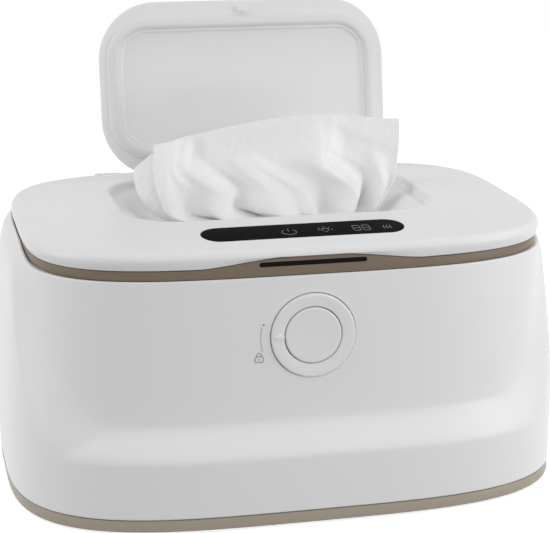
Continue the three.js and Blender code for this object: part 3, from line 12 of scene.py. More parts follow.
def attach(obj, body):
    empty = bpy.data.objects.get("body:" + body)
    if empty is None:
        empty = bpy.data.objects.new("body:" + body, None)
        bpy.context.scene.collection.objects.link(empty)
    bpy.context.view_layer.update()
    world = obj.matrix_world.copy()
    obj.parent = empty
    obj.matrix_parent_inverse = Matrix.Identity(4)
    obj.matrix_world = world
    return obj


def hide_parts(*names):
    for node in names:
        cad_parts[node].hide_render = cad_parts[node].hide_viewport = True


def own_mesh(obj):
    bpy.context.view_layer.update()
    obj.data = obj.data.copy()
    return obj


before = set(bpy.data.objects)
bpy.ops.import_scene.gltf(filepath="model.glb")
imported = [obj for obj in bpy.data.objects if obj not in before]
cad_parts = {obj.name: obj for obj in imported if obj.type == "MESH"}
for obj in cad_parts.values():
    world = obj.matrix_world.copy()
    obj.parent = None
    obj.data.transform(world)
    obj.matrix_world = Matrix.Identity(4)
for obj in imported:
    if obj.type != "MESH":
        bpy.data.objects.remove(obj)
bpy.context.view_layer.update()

bl_info = {
    "name": "Wipe warmer builder",
    "version": (1, 0, 0),
    "blender": (4, 5, 0),
    "location": "View3D > Sidebar > Warmer",
    "description": "Builds a heated wipe box with its lid, flip cover, lock ring, wipe, lights and camera",
    "category": "Object",
}

MM = 0.001
LID_HINGE = (0, 87 * MM, 116.3 * MM)
FOOT_X, FOOT_Y = 88 * MM, 60 * MM
SCREW_X, SCREW_Y = 100 * MM, 66 * MM
# Half sizes of the taupe band and of the pocket in the housing that takes it
BAND_X, BAND_Y = 114 * MM, 84.1 * MM
POCKET_X, POCKET_Y = 114.4 * MM, 83.9 * MM


def length(label, note, millimetres):
    size = millimetres * MM
    return FloatProperty(name=label, description=note, default=size, unit="LENGTH", subtype="DISTANCE", precision=5)


def number(label, note, value):
    return FloatProperty(name=label, description=note, default=value, precision=4)


def turn(label, note, degrees):
    return FloatProperty(name=label, description=note, default=math.radians(degrees), unit="ROTATION", subtype="ANGLE")


def colour(label, note, value):
    return FloatVectorProperty(name=label, description=note, default=value, size=3, subtype="COLOR", min=0, max=1)


# Settings


class WarmerPlan(PropertyGroup):
    panel_x: length("Panel half width", "Half width of the front panel's plan", 116)
    panel_y: length("Panel half depth", "Half depth of the front panel's plan", 84.4)
    panel_power: number("Panel power", "Squareness of the panel's plan", 3.8)
    flare_x: length("Flare half width", "Half width over the side cheeks at the foot", 124.3)
    flare_y: length("Flare half depth", "Half depth over the flared foot", 92.5)
    flare_power: number("Flare power", "Squareness of the flared plan", 3.53)
    cheek_lean: length("Cheek lean", "How far each cheek leans in up to its rim", 4.2)
    tray_inset: length("Tray inset", "How far the base band stands back", 0.3)
    edge: length("Lower edge", "Rounding of the housing's and the band's lower edges", 0.8)
    lid_x: length("Lid half width", "Half width of the lid's plan", 115)
    lid_y: length("Lid half depth", "Half depth of the lid's plan", 83.7)
    lid_power: number("Lid power", "Squareness of the lid's plan", 3.87)
    lid_shift: length("Lid shift", "Offset of the lid towards the front", -1.6)
    wall: length("Wall", "Thickness of the moulded shells", 2.6)


class WarmerHeights(PropertyGroup):
    foot: length("Feet", "Height of the feet below the tray", 1.2)
    tray_top: length("Tray top", "Top of the taupe base band", 6.4)
    body_bottom: length("Housing bottom", "Lower edge of the white housing", 6.7)
    rim: length("Front rim", "Upper edge of the housing at the front", 107.7)
    cheek: length("Cheek rim", "Upper edge of the housing at the sides", 112.7)
    lid_edge: length("Lid edge", "Lower edge of the lid", 112.2)
    shoulder: length("Shoulder", "Where the lid's side turns into its top", 119.7)
    crown: length("Crown", "Rise of the lid's top over its shoulder", 4.5)
    bowl_rim: length("Bowl rim", "Height of the rim round the dispensing bowl", 123.6)


class WarmerFlare(PropertyGroup):
    line: length("Flare line", "Height of the middle of the step on the front", 38.2)
    half: length("Half height", "Half height of the step", 8)
    start_y: length("Sweep start", "Depth at which the step leaves the front", -73.4)
    reach_y: length("Sweep reach", "Depth over which the step climbs the side", 42)
    rise: length("Sweep rise", "Steepness of the climb", 56)
    round_height: length("Cheek rounding height", "Height over which the cheek's top is rounded", 13)
    round_inset: length("Cheek rounding inset", "How far the cheek's top is drawn in", 6.2)
    rim_start: length("Rim rise start", "Depth at which the front rim starts to rise", -50.4)
    rim_end: length("Rim rise end", "Depth at which the rim reaches the cheek's height", -5.4)


class WarmerBowl(PropertyGroup):
    half_x: length("Bowl half width", "Half width of the dispensing bowl", 69.6)
    half_y: length("Bowl half depth", "Half depth of the dispensing bowl", 45.7)
    centre_y: length("Bowl centre", "Centre of the bowl along the depth", 1)
    corner: length("Bowl corner", "Corner radius of the bowl", 26.6)
    wall_depth: length("Wall depth", "Depth of the bowl's upright wall", 4.3)
    sink: length("Sink", "Further fall of the bowl's floor", 8.6)
    fall: length("Fall length", "Length over which the floor falls", 15)
    gate_x: length("Gate half width", "Half width of the gate opening", 54)
    gate_y: length("Gate half depth", "Half depth of the gate opening", 12)
    rim_round: length("Rim rounding", "Radius of the bowl's rim", 1.5)


class WarmerCover(PropertyGroup):
    half_x: length("Cover half width", "Half width of the flip cover", 68.9)
    half_y: length("Cover half depth", "Half depth of the flip cover", 41)
    centre_y: length("Cover centre", "Centre of the closed cover along the depth", 4.2)
    corner: length("Cover corner", "Corner radius of the flip cover", 27.4)
    thickness: length("Thickness", "Thickness of the flip cover", 3.4)
    hinge_y: length("Hinge depth", "Place of the cover's hinge along the depth", 47)
    hinge_z: length("Hinge height", "Height of the cover's hinge", 122)
    opened: turn("Opened", "Angle at which the cover stands open", 100)
    bead_width: length("Bead width", "Width of the sealing bead", 5.8)
    bead_height: length("Bead height", "Height of the sealing bead", 2.1)
    margin_x: length("Side margin", "Flat margin outside the bead at the sides", 3.4)
    margin_y: length("End margin", "Flat margin outside the bead at the free edge", 7.4)
    bead_shift: length("Bead shift", "Offset of the bead towards the free edge", 0.4)


class WarmerLock(PropertyGroup):
    centre_z: length("Lock height", "Height of the lock's axis", 81.6)
    ring_radius: length("Ring radius", "Outer radius of the lock ring", 18.1)
    ring_bore: length("Ring bore", "Inner radius of the lock ring", 12.45)
    button_radius: length("Button radius", "Radius of the push button", 12.05)
    ring_face: length("Ring face", "Depth of the ring's face", -85.6)
    button_face: length("Button face", "Depth of the button's face", -85.1)


class WarmerStrip(PropertyGroup):
    half_x: length("Strip half length", "Half length of the touch strip", 43.7)
    half_y: length("Strip half width", "Half width of the touch strip", 7.9)
    centre_y: length("Strip centre", "Place of the touch strip along the depth", -66)
    slot_x: length("Slot half length", "Half length of the dark slot", 22.9)
    slot_height: length("Slot height", "Height of the dark slot", 2.1)


class WarmerWipe(PropertyGroup):
    slit_half: length("Slit half length", "Half length of the part of the wipe that stands in the gate", 49.2)
    free_edge: length("Gate height", "Height at which the wipe leaves the gate", 109)
    tail: length("Tail", "Length of the wipe below the gate", 9.6)
    reach: length("Reach", "Height of the tallest point of the wipe over the gate", 50)
    thickness: length("Thickness", "Thickness of the damp cloth", 0.4)
    wrinkle: length("Wrinkle", "Depth of the fine wrinkles", 0.12)
    columns: IntProperty(name="Columns", description="Points across the wipe", default=260, min=60)
    rows: IntProperty(name="Rows", description="Points up the wipe", default=110, min=30)


class WarmerStage(PropertyGroup):
    azimuth: turn("Azimuth", "Camera turned to the left of the front", 12.95)
    elevation: turn("Elevation", "Camera height angle", 15.01)
    distance: length("Distance", "Camera distance from its target", 805.27)
    target: FloatVectorProperty(
        name="Target", description="Point the camera looks at", default=(2.95 * MM, 0, 88.9 * MM), size=3, subtype="XYZ"
    )
    lens: number("Lens", "Focal length on a 36 mm sensor", 114.32)
    ambient: number("Ambient light", "Strength of the even light from all sides", 0.357)


class WarmerColours(PropertyGroup):
    shell: colour("Shells", "Housing, lid, cover and lock ring", (0.86, 0.86, 0.86))
    button: colour("Button", "Push button", (0.85, 0.85, 0.85))
    bead: colour("Bead", "Sealing bead of the flip cover", (0.8, 0.8, 0.81))
    # The tray's and the band's taupes are one plastic: the tray's colour is lightened as painted light at the foot, the
    # band's darkened as painted shade under the lid
    base: colour("Base", "Taupe tray at the foot", (0.4, 0.345, 0.28))
    trim: colour("Trim", "Taupe band under the lid", (0.215, 0.165, 0.12))
    lens: colour("Lens", "Touch strip", (0.011, 0.011, 0.012))
    slot: colour("Slot", "Dark slot in the taupe band", (0.01, 0.009, 0.008))
    icons: colour("Icons", "Symbols on the touch strip", (0.33, 0.33, 0.34))
    marks: colour("Marks", "Marks printed on the housing", (0.24, 0.24, 0.25))
    cloth: colour("Wipe", "Damp cloth", (0.955, 0.955, 0.953))


GROUPS = {
    "warmer_colours": WarmerColours,
    "warmer_plan": WarmerPlan,
    "warmer_heights": WarmerHeights,
    "warmer_flare": WarmerFlare,
    "warmer_bowl": WarmerBowl,
    "warmer_cover": WarmerCover,
    "warmer_lock": WarmerLock,
    "warmer_strip": WarmerStrip,
    "warmer_wipe": WarmerWipe,
    "warmer_stage": WarmerStage,
}


# Mesh tools


def link(obj):
    bpy.context.scene.collection.objects.link(obj)
    return obj


def mesh_object(name, verts, faces=(), edges=()):
    mesh = bpy.data.meshes.new(name)
    mesh.from_pydata([tuple(v) for v in verts], edges, faces)
    mesh.validate()
    mesh.update()
    return link(bpy.data.objects.new(name, mesh))


def shade(obj, degrees=32):
    obj.data.shade_smooth()
    obj.data.set_sharp_from_angle(angle=math.radians(degrees))
    return obj


def loft(name, rings, cap_start=False, cap_end=False, wrap=False):
    """A surface through closed rings of equal count, each counter-clockwise seen from where the rings go."""
    rings = np.asarray(rings, float)
    count, around = rings.shape[:2]
    index = np.arange(count * around).reshape(count, around)
    faces = []
    last = count if wrap else count - 1
    for i in range(last):
        a = index[i]
        d = index[(i + 1) % count]
        b, c = np.roll(a, -1), np.roll(d, -1)
        faces += np.stack([a, b, c, d], axis=1).tolist()
    verts = rings.reshape(-1, 3).tolist()
    for ring, wanted, flip in ((0, cap_start, True), (count - 1, cap_end, False)):
        if wanted:
            centre = len(verts)
            verts.append(rings[ring].mean(0).tolist())
            a, b = index[ring], np.roll(index[ring], -1)
            pairs = zip(b, a) if flip else zip(a, b)
            faces += [[centre, int(p), int(q)] for p, q in pairs]
    return mesh_object(name, verts, faces)


def superellipse(angles, half_x, half_y, power, centre_y=0.0):
    c, s = np.cos(angles), np.sin(angles)
    r = (np.abs(c / half_x) ** power + np.abs(s / half_y) ** power) ** (-1 / power)
    return np.stack([c * r, s * r + centre_y], axis=1)


def round_rect(angles, half_x, half_y, corner, centre_y=0.0):
    """A rounded rectangle met by rays at those angles from its centre."""
    c, s = np.abs(np.cos(angles)), np.abs(np.sin(angles))
    corner = min(corner, half_x * 0.999, half_y * 0.999)
    straight = np.minimum(half_x / np.maximum(c, 1e-9), half_y / np.maximum(s, 1e-9))
    ax, ay = half_x - corner, half_y - corner
    along = c * ax + s * ay
    inside = np.maximum(along**2 - (ax**2 + ay**2 - corner**2), 0)
    curved = along + np.sqrt(inside)
    in_corner = (straight * c > ax) & (straight * s > ay)
    r = np.where(in_corner, curved, straight)
    return np.stack([np.cos(angles) * r, np.sin(angles) * r + centre_y], axis=1)


def even_angles(outline, count):
    """Polar angles that step evenly along an outline, the same on both sides."""
    dense = np.linspace(-math.pi / 2, math.pi / 2, 4001)
    points = outline(dense)
    steps = np.hypot(*np.diff(points, axis=0).T)
    travelled = np.concatenate([[0], np.cumsum(steps)])
    right = np.interp(np.linspace(0, travelled[-1], count // 2 + 1), travelled, dense)
    left = math.pi - right[1:-1][::-1]
    return np.concatenate([right, left])


def rounding(start, end, steps):
    """One minus the cosine, and the sine, of even angles in degrees: the way in and up round an edge."""
    return [(1 - math.cos(a), math.sin(a)) for a in np.radians(np.linspace(start, end, steps))]


def span(side, low, high):
    """A stretch of x in millimetres, mirrored to a side of -1 or 1, low end first."""
    return sorted((side * low * MM, side * high * MM))


def at(points, z):
    """Points of a plan raised to one height, or to a height each."""
    z = np.broadcast_to(np.asarray(z, float), points.shape[:1])
    return np.column_stack([points, z])


def smooth(t):
    t = np.clip(t, 0, 1)
    return t * t * (3 - 2 * t)


def baked(obj):
    """Applies the modifiers of an object to its mesh."""
    depsgraph = bpy.context.evaluated_depsgraph_get()
    mesh = bpy.data.meshes.new_from_object(obj.evaluated_get(depsgraph))
    obj.modifiers.clear()
    obj.data = mesh
    return obj


def carve(obj, *cutters, operation="DIFFERENCE"):
    for cutter in cutters:
        modifier = obj.modifiers.new("carve", "BOOLEAN")
        modifier.operation = operation
        modifier.solver = "EXACT"
        modifier.object = cutter
        baked(obj)
        bpy.data.objects.remove(cutter)
    return obj


def joined(obj, *others):
    """Adds the meshes of other objects to an object and removes them."""
    build = bmesh.new()
    build.from_mesh(obj.data)
    for other in others:
        build.from_mesh(other.data)
        bpy.data.objects.remove(other)
    build.to_mesh(obj.data)
    build.free()
    return obj


def turned(name, profile, segments=96, axis="Z", centre=(0, 0, 0)):
    """A round body from [radius, place along the axis] pairs that run up the outside; radius 0 closes it."""
    angles = np.linspace(0, 2 * math.pi, segments, endpoint=False)
    circle = np.stack([np.cos(angles), np.sin(angles)], axis=1)
    open_start, open_end = profile[0][0] > 0, profile[-1][0] > 0
    rings = [at(circle * r, z) for r, z in profile if r > 0]
    obj = loft(name, rings, not open_start, not open_end, wrap=open_start and open_end)
    if axis != "Z":
        obj.data.transform(Matrix.Rotation(math.pi / 2, 4, "X" if axis == "Y" else "Y"))
    obj.data.transform(Matrix.Translation(centre))
    return obj


def rod(name, radius, start, end, axis, centre, segments=48, edge=0.0):
    side = [(radius, start), (radius, end)]
    if edge:
        side = [(radius - edge, start), (radius, start + edge), (radius, end - edge), (radius - edge, end)]
    return turned(name, [(0, start), *side, (0, end)], segments, axis, centre)


def box_object(name, low, high, bevel=0.0, segments=2):
    build = bmesh.new()
    bmesh.ops.create_cube(build, size=1)
    size = Vector(high) - Vector(low)
    middle = (Vector(high) + Vector(low)) / 2
    bmesh.ops.scale(build, vec=size, verts=build.verts)
    bmesh.ops.translate(build, vec=middle, verts=build.verts)
    if bevel:
        bmesh.ops.bevel(build, geom=build.edges[:], offset=bevel, segments=segments, profile=0.5, affect="EDGES")
    mesh = bpy.data.meshes.new(name)
    build.to_mesh(mesh)
    build.free()
    return link(bpy.data.objects.new(name, mesh))


# Node trees


def feed(tree, node, inputs):
    """Sets the inputs of a node by name or place, to values or by links from other nodes."""
    for key, value in inputs.items():
        if isinstance(value, bpy.types.NodeSocket):
            tree.links.new(value, node.inputs[key])
        else:
            node.inputs[key].default_value = value
    return node


def new_node(tree, kind, inputs):
    return feed(tree, tree.nodes.new(kind), inputs)


def node_group(name, sockets):
    """A geometry tree with the given named inputs between its geometry input and output."""
    tree = bpy.data.node_groups.new(name, "GeometryNodeTree")
    tree.interface.new_socket("Geometry", in_out="INPUT", socket_type="NodeSocketGeometry")
    for label, kind in sockets:
        tree.interface.new_socket(label, in_out="INPUT", socket_type="NodeSocket" + kind)
    tree.interface.new_socket("Geometry", in_out="OUTPUT", socket_type="NodeSocketGeometry")
    inlet, outlet = tree.nodes.new("NodeGroupInput"), tree.nodes.new("NodeGroupOutput")
    return tree, inlet.outputs, outlet.inputs


def finish_tree(tree, made, material, outlet):
    """Ends a tree in real geometry that carries its material."""
    real = new_node(tree, "GeometryNodeRealizeInstances", {"Geometry": made})
    painted = {"Geometry": real.outputs["Geometry"], "Material": material}
    cover = new_node(tree, "GeometryNodeSetMaterial", painted)
    tree.links.new(cover.outputs["Geometry"], outlet["Geometry"])
    return tree


def line_tree():
    """Sweeps a round section along every line of the input."""
    tree, inlet, outlet = node_group("swept_line", [("Radius", "Float"), ("Sides", "Int"), ("Material", "Material")])
    path = new_node(tree, "GeometryNodeMeshToCurve", {"Mesh": inlet["Geometry"]})
    round_line = {"Radius": inlet["Radius"], "Resolution": inlet["Sides"]}
    section = new_node(tree, "GeometryNodeCurvePrimitiveCircle", round_line)
    curves = {"Curve": path.outputs["Curve"], "Profile Curve": section.outputs["Curve"], "Fill Caps": True}
    sweep = new_node(tree, "GeometryNodeCurveToMesh", curves)
    return finish_tree(tree, sweep.outputs["Mesh"], inlet["Material"], outlet)


def repeat_tree():
    """Sets one piece at every point of the input."""
    sockets = [("Piece", "Object"), ("Size", "Float"), ("Material", "Material")]
    tree, inlet, outlet = node_group("set_at_points", sockets)
    piece = new_node(tree, "GeometryNodeObjectInfo", {"Object": inlet["Piece"]})
    copies = {"Points": inlet["Geometry"], "Instance": piece.outputs["Geometry"], "Scale": inlet["Size"]}
    place = new_node(tree, "GeometryNodeInstanceOnPoints", copies)
    return finish_tree(tree, place.outputs["Instances"], inlet["Material"], outlet)


def with_tree(obj, build_tree, **values):
    """Runs a tree on an object with its named inputs set and keeps the result as a plain mesh."""
    tree = bpy.data.node_groups.get(build_tree.__name__) or build_tree()
    tree.name = build_tree.__name__
    modifier = obj.modifiers.new(tree.name, "NODES")
    modifier.node_group = tree
    for socket in tree.interface.items_tree:
        if socket.in_out == "INPUT" and socket.name in values:
            modifier[socket.identifier] = values[socket.name]
    return baked(obj)


def swept(name, strokes, radius, material, sides=10):
    """Round lines through points; a stroke whose last point is its first is closed."""
    verts, edges = [], []
    for stroke in strokes:
        closed = np.allclose(stroke[0], stroke[-1])
        points = stroke[:-1] if closed else stroke
        start = len(verts)
        verts += points
        edges += [(start + k, start + k + 1) for k in range(len(points) - 1)]
        if closed:
            edges.append((start + len(points) - 1, start))
    obj = mesh_object(name, verts, edges=edges)
    return with_tree(obj, line_tree, Radius=radius, Sides=sides, Material=material)


def repeated(name, piece, places, material):
    """Copies of a piece at the given places, as one mesh."""
    obj = mesh_object(name, places)
    with_tree(obj, repeat_tree, Piece=piece, Size=1.0, Material=material)
    bpy.data.objects.remove(piece)
    return obj


# Materials


def node_material(name):
    material = bpy.data.materials.new(name)
    material.use_nodes = True
    tree = material.node_tree
    shader = tree.nodes["Principled BSDF"]
    coords = tree.nodes.new("ShaderNodeTexCoord")
    return material, tree, shader, coords.outputs["Object"]


def noise(tree, coords, scale, detail=3.0, roughness=0.5):
    inputs = {"Vector": coords, "Scale": scale, "Detail": detail, "Roughness": roughness}
    return new_node(tree, "ShaderNodeTexNoise", inputs).outputs["Fac"]


def ramp(tree, value, low, high):
    return new_node(tree, "ShaderNodeMapRange", {"Value": value, "To Min": low, "To Max": high}).outputs["Result"]


def tint(tree, value, dark, light):
    mix = tree.nodes.new("ShaderNodeMix")
    mix.data_type = "RGBA"
    return feed(tree, mix, {"Factor": value, "A": (*dark, 1), "B": (*light, 1)}).outputs["Result"]


def bump(tree, height, strength, distance, normal=None):
    inputs = {"Height": height, "Strength": strength, "Distance": distance}
    if normal is not None:
        inputs["Normal"] = normal
    return new_node(tree, "ShaderNodeBump", inputs).outputs["Normal"]


def moulded(name, base, roughness, grain=900.0, relief=0.06, spread=0.015, specular=0.5):
    """Moulded plastic: a fine spark-eroded grain, faint flow marks in the colour and a slightly uneven sheen."""
    material, tree, shader, coords = node_material(name)
    flow = noise(tree, coords, 14, 4, 0.55)
    dark = tuple(max(c * (1 - spread), 0) for c in base)
    light = tuple(min(c * (1 + spread), 1) for c in base)
    look = {
        "Base Color": tint(tree, flow, dark, light),
        "Roughness": ramp(tree, noise(tree, coords, 60, 3), roughness - 0.03, roughness + 0.03),
        "Normal": bump(tree, noise(tree, coords, grain, 2), relief, 0.00005),
        "Specular IOR Level": specular,
    }
    feed(tree, shader, look)
    return material


def metal(name, base, roughness):
    material, tree, shader, coords = node_material(name)
    look = {
        "Base Color": tint(tree, noise(tree, coords, 90, 3), tuple(c * 0.93 for c in base), base),
        "Roughness": ramp(tree, noise(tree, coords, 400, 2), roughness - 0.06, roughness + 0.06),
        "Normal": bump(tree, noise(tree, coords, 1200, 2), 0.08, 0.00003),
        "Metallic": 1,
    }
    feed(tree, shader, look)
    return material


def damp_cloth(base):
    """Spunlaced wipe: a cloudy tint, long soft fibres, soft dents and a little light through the cloth."""
    material, tree, shader, coords = node_material("damp_cloth")
    cloudy = noise(tree, coords, 55, 4, 0.6)
    stretch = new_node(tree, "ShaderNodeMapping", {"Vector": coords, "Scale": (1, 1, 0.35)})
    fibres = bump(tree, noise(tree, stretch.outputs["Vector"], 1700, 4, 0.7), 0.3, 0.00025)
    soft = bump(tree, noise(tree, coords, 170, 3, 0.55), 0.35, 0.0006, fibres)
    look = {
        "Base Color": tint(tree, cloudy, [0.978 * c for c in base], [1.02 * c for c in base]),
        "Normal": soft,
        "Roughness": 0.8,
        "Specular IOR Level": 0.25,
        "Sheen Weight": 0.15,
        "Subsurface Weight": 0.08,
        "Subsurface Radius": (0.004, 0.004, 0.004),
        "Subsurface Scale": 1.0,
    }
    feed(tree, shader, look)
    return material


def paint(obj, material):
    obj.data.materials.clear()
    obj.data.materials.append(material)
    return obj


def dress(obj, key, body, slot, *nodes, angle=30):
    """Shades and paints a piece, and names its body, its slot and the CAD nodes that it stands for."""
    shade(obj, angle)
    if key:
        paint(obj, MATERIALS[key])
    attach(obj, body)
    if nodes:
        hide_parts(*nodes)
    return obj


MATERIALS = {}


def make_materials(scene):
    """Plastics as name, colour, roughness, grain, relief, spread and specular, then the metals and the cloth."""
    colours = scene.warmer_colours
    plastics = {
        "white": ("white_shell", colours.shell, 0.36, 1100, 0.05, 0.006),
        "button": ("white_button", colours.button, 0.3, 1300, 0.03, 0.006),
        "inner_white": ("white_inner", colours.bead, 0.42, 1100, 0.05, 0.008),
        # The tray's and the band's taupes are lit and shaded copies of one plastic: the tray's colour carries painted
        # light, the band's painted shade from the lid
        "taupe": ("taupe_base_painted_light", colours.base, 0.4, 1100, 0.06, 0.02, 0.4),
        "taupe_ring_painted_shade": ("taupe_trim", colours.trim, 0.4, 1100, 0.06, 0.02, 0.3),
        "black": ("smoked_gloss", colours.lens, 0.12, 500, 0.004, 0.05, 0.003),
        "slot": ("smoked_slot", colours.slot, 0.25, 700, 0.02, 0.05, 0.04),
        "grey": ("grey_inner", (0.5, 0.52, 0.53), 0.5, 900, 0.1, 0.02),
        "silicone": ("milky_silicone", (0.74, 0.74, 0.74), 0.5, 700, 0.08, 0.01),
        "rubber": ("foot_rubber", (0.05, 0.047, 0.045), 0.8, 500, 0.3, 0.1),
        "foam": ("foam_pad", (0.3, 0.3, 0.29), 0.95, 350, 0.8, 0.2),
        "film": ("amber_film", (0.45, 0.18, 0.04), 0.3, 500, 0.02, 0.05),
        "board": ("solder_mask", (0.01, 0.09, 0.04), 0.4, 600, 0.1, 0.1),
        "print": ("grey_print", colours.marks, 0.45, 900, 0.02, 0.03),
        "icon": ("icon_print", colours.icons, 0.5, 900, 0.02, 0.03, 0.1),
    }
    MATERIALS.update({key: moulded(*values) for key, values in plastics.items()})
    MATERIALS["steel"] = metal("plated_steel", (0.62, 0.62, 0.63), 0.3)
    MATERIALS["aluminium"] = metal("rolled_aluminium", (0.75, 0.76, 0.77), 0.42)
    MATERIALS["cloth"] = damp_cloth(colours.cloth)


# Shared forms


def plan_and_heights(scene):
    return scene.warmer_plan, scene.warmer_heights


def arch(x, rise=4.1 * MM, half=48 * MM):
    """Rise of the parting line over the middle of the front."""
    share = 1 - np.minimum(np.abs(x) / half, 1) ** 2
    return rise * share**1.5


def rise(points):
    """The arch's rise at points of a plan, on the front only."""
    return np.where(points[:, 1] < 0, arch(points[:, 0]), 0)


def dome_height(scene, x, y):
    plan, heights = plan_and_heights(scene)
    fillet = 3.5 * MM
    power = plan.lid_power
    across, along = np.abs(x / (plan.lid_x - fillet)), np.abs((y - plan.lid_shift) / (plan.lid_y - fillet))
    s = (across**power + along**power) ** (1 / power)
    return heights.shoulder + heights.crown * (1 - np.clip(s, 0, 1) ** 4)


def laid_on(surface, scene, points, offset=0.0):
    """Points of a plan at the height of a surface, moved up by an offset."""
    return at(points, surface(scene, points[:, 0], points[:, 1]) + offset)


def flare_polyline(scene):
    flare = scene.warmer_flare
    along = np.linspace(0, 0.9995, 160)
    y = flare.start_y + flare.reach_y * along
    z = flare.line + flare.rise * np.arctanh(along)
    return y, z


def flare_weight(scene, y, z):
    flare = scene.warmer_flare
    line_y, line_z = flare_polyline(scene)
    line_y = np.concatenate([[flare.start_y - 200 * MM], line_y])
    line_z = np.concatenate([[flare.line], line_z])
    best = np.full(y.shape, 1.0)
    for (y0, z0), (y1, z1) in zip(zip(line_y, line_z), zip(line_y[1:], line_z[1:])):
        run_y, run_z = y1 - y0, z1 - z0
        t = np.clip(((y - y0) * run_y + (z - z0) * run_z) / (run_y**2 + run_z**2), 0, 1)
        best = np.minimum(best, np.hypot(y - y0 - t * run_y, z - z0 - t * run_z))
    along = np.clip((y - flare.start_y) / flare.reach_y, 0, 0.9999)
    line = np.where(y < flare.start_y + flare.reach_y, flare.line + flare.rise * np.arctanh(along), 10.0)
    side = np.where(z < line, 1, -1)
    return smooth(0.5 + side * best / (2 * flare.half))


def rim_height(scene, y):
    heights, flare = scene.warmer_heights, scene.warmer_flare
    share = smooth((y - flare.rim_start) / (flare.rim_end - flare.rim_start))
    return heights.rim + (heights.cheek - heights.rim) * share


def panel_plan(scene, angles, offset=0.0):
    plan = scene.warmer_plan
    return superellipse(angles, plan.panel_x - offset, plan.panel_y - offset, plan.panel_power)


def reach(points):
    """How far the points of a plan are from its middle."""
    return np.hypot(points[:, 0], points[:, 1])


def flared_plan(scene, angles, z, offset=0.0):
    """The wide plan, whose cheeks lean in above the flare line."""
    plan, flare = scene.warmer_plan, scene.warmer_flare
    lean = plan.cheek_lean * np.maximum((z - flare.line) / (scene.warmer_heights.cheek - flare.line), 0)
    return superellipse(angles, plan.flare_x - lean - offset, plan.flare_y - offset, plan.flare_power)


def housing_ring(scene, angles, z, offset=0.0, foot_round=True):
    """One ring of the housing's surface; z is a height or one height a point."""
    plan, heights = plan_and_heights(scene)
    flare = scene.warmer_flare
    z = np.broadcast_to(np.asarray(z, float), angles.shape)
    guide, panel = panel_plan(scene, angles), panel_plan(scene, angles, offset)
    wide = flared_plan(scene, angles, z, offset)
    weight = flare_weight(scene, guide[:, 1], z)
    top = rim_height(scene, guide[:, 1])
    below = np.clip(flare.round_height - (top - z), 0, flare.round_height) / flare.round_height
    point = panel + (wide - panel) * weight[:, None]
    pull = flare.round_inset * (1 - np.sqrt(1 - below**2)) * weight
    if foot_round:
        above = np.clip((z - heights.body_bottom) / plan.edge, 0, 1)
        pull = pull + plan.edge * (1 - np.sqrt(1 - (1 - above) ** 2))
    point = point * (1 - pull / reach(point))[:, None]
    return np.column_stack([point, z])


# Pieces


def plan_angles(scene, count):
    return even_angles(lambda a: panel_plan(scene, a), count)


def build_housing(scene):
    plan, heights = plan_and_heights(scene)
    lock = scene.warmer_lock
    angles = plan_angles(scene, 300)
    top = rim_height(scene, panel_plan(scene, angles)[:, 1])
    lip = 0.55 * MM
    bands = ((0, 0.012, 6), (0.02, 0.2, 10), (0.21, 0.46, 34), (0.475, 0.88, 28), (0.89, 1, 18))
    levels = np.concatenate([np.linspace(*band) for band in bands])
    low_z = heights.body_bottom
    rings = [housing_ring(scene, angles, low_z, inset, False) for inset in (plan.wall, 1.9 * MM)]
    rings += [housing_ring(scene, angles, low_z + (top - lip - low_z) * share) for share in levels]
    edge = rings[-1][:, :2]
    out = edge / reach(edge)[:, None]
    for inward, up in rounding(18, 90, 5):
        rings.append(at(edge - out * lip * inward, top - lip + lip * up))
    pocket = superellipse(angles, POCKET_X, POCKET_Y, plan.panel_power)
    gap = 0.9 * MM
    lid_pocket = superellipse(angles, plan.lid_x + gap, plan.lid_y + gap, plan.lid_power, plan.lid_shift)
    step = heights.lid_edge - 0.3 * MM
    over = top > step + 0.2 * MM
    inner = np.where((over & (reach(lid_pocket) > reach(pocket)))[:, None], lid_pocket, pocket)
    skin = 0.75 * MM
    inner = np.where((reach(inner) > reach(edge) - skin)[:, None], edge - out * skin, inner)
    for down, across in rounding(0, 90, 4):
        rings.append(at(inner + out * lip * 0.4 * (1 - across), top - lip * 0.4 * down))
    low = np.minimum(top - 0.5 * MM, step)
    rings.append(at(inner, low))
    down = np.where((reach(pocket) > reach(edge) - skin)[:, None], edge - out * skin, pocket)
    rings += [at(down, low), at(down, heights.rim - 0.1 * MM)]
    ledge = panel_plan(scene, angles, 4.2 * MM)
    rings += [at(ledge, heights.rim - 0.1 * MM), at(ledge, heights.rim - 2.2 * MM)]
    for share in (0.97, 0.8, 0.66, 0.5, 0.38, 0.31, 0.21, 0):
        rings.append(housing_ring(scene, angles, low_z + (heights.rim - 2.2 * MM - low_z) * share, plan.wall, False))
    body = loft("housing_shell", rings, wrap=True)
    bore = lock.ring_radius + 0.32 * MM
    chamfer = 0.3 * MM
    mouth, front = bore + chamfer * 1.2, plan.panel_y
    profile = [(0, 0.07), (bore, 0.07), (bore, front - chamfer), (mouth, front + 0.1 * MM), (mouth, 0.095), (0, 0.095)]
    hole = turned("lock_hole", profile, 160, "Y", (0, 0, lock.centre_z))
    inlet = rod("inlet_hole", 4.5 * MM, -0.1, -0.08, "Y", (0, 0, 15.2 * MM), 48)
    carve(body, hole, inlet)
    lugs = []
    for side in (-1, 1):
        for low_x, high_x in ((46, 50), (64.4, 68.4)):
            x0, x1 = span(side, low_x, high_x)
            low, high = (x0, 84.2 * MM, 101.2 * MM), (x1, LID_HINGE[1] + 1.75 * MM, LID_HINGE[2])
            lugs.append(box_object("lug", low, high, 0.35 * MM))
            lugs.append(rod("lug", 1.75 * MM, x0, x1, "X", LID_HINGE, 48, 0.3 * MM))
    joined(body, *lugs)
    return dress(body, "white", "base", "white_shell", "outer_housing", angle=32)


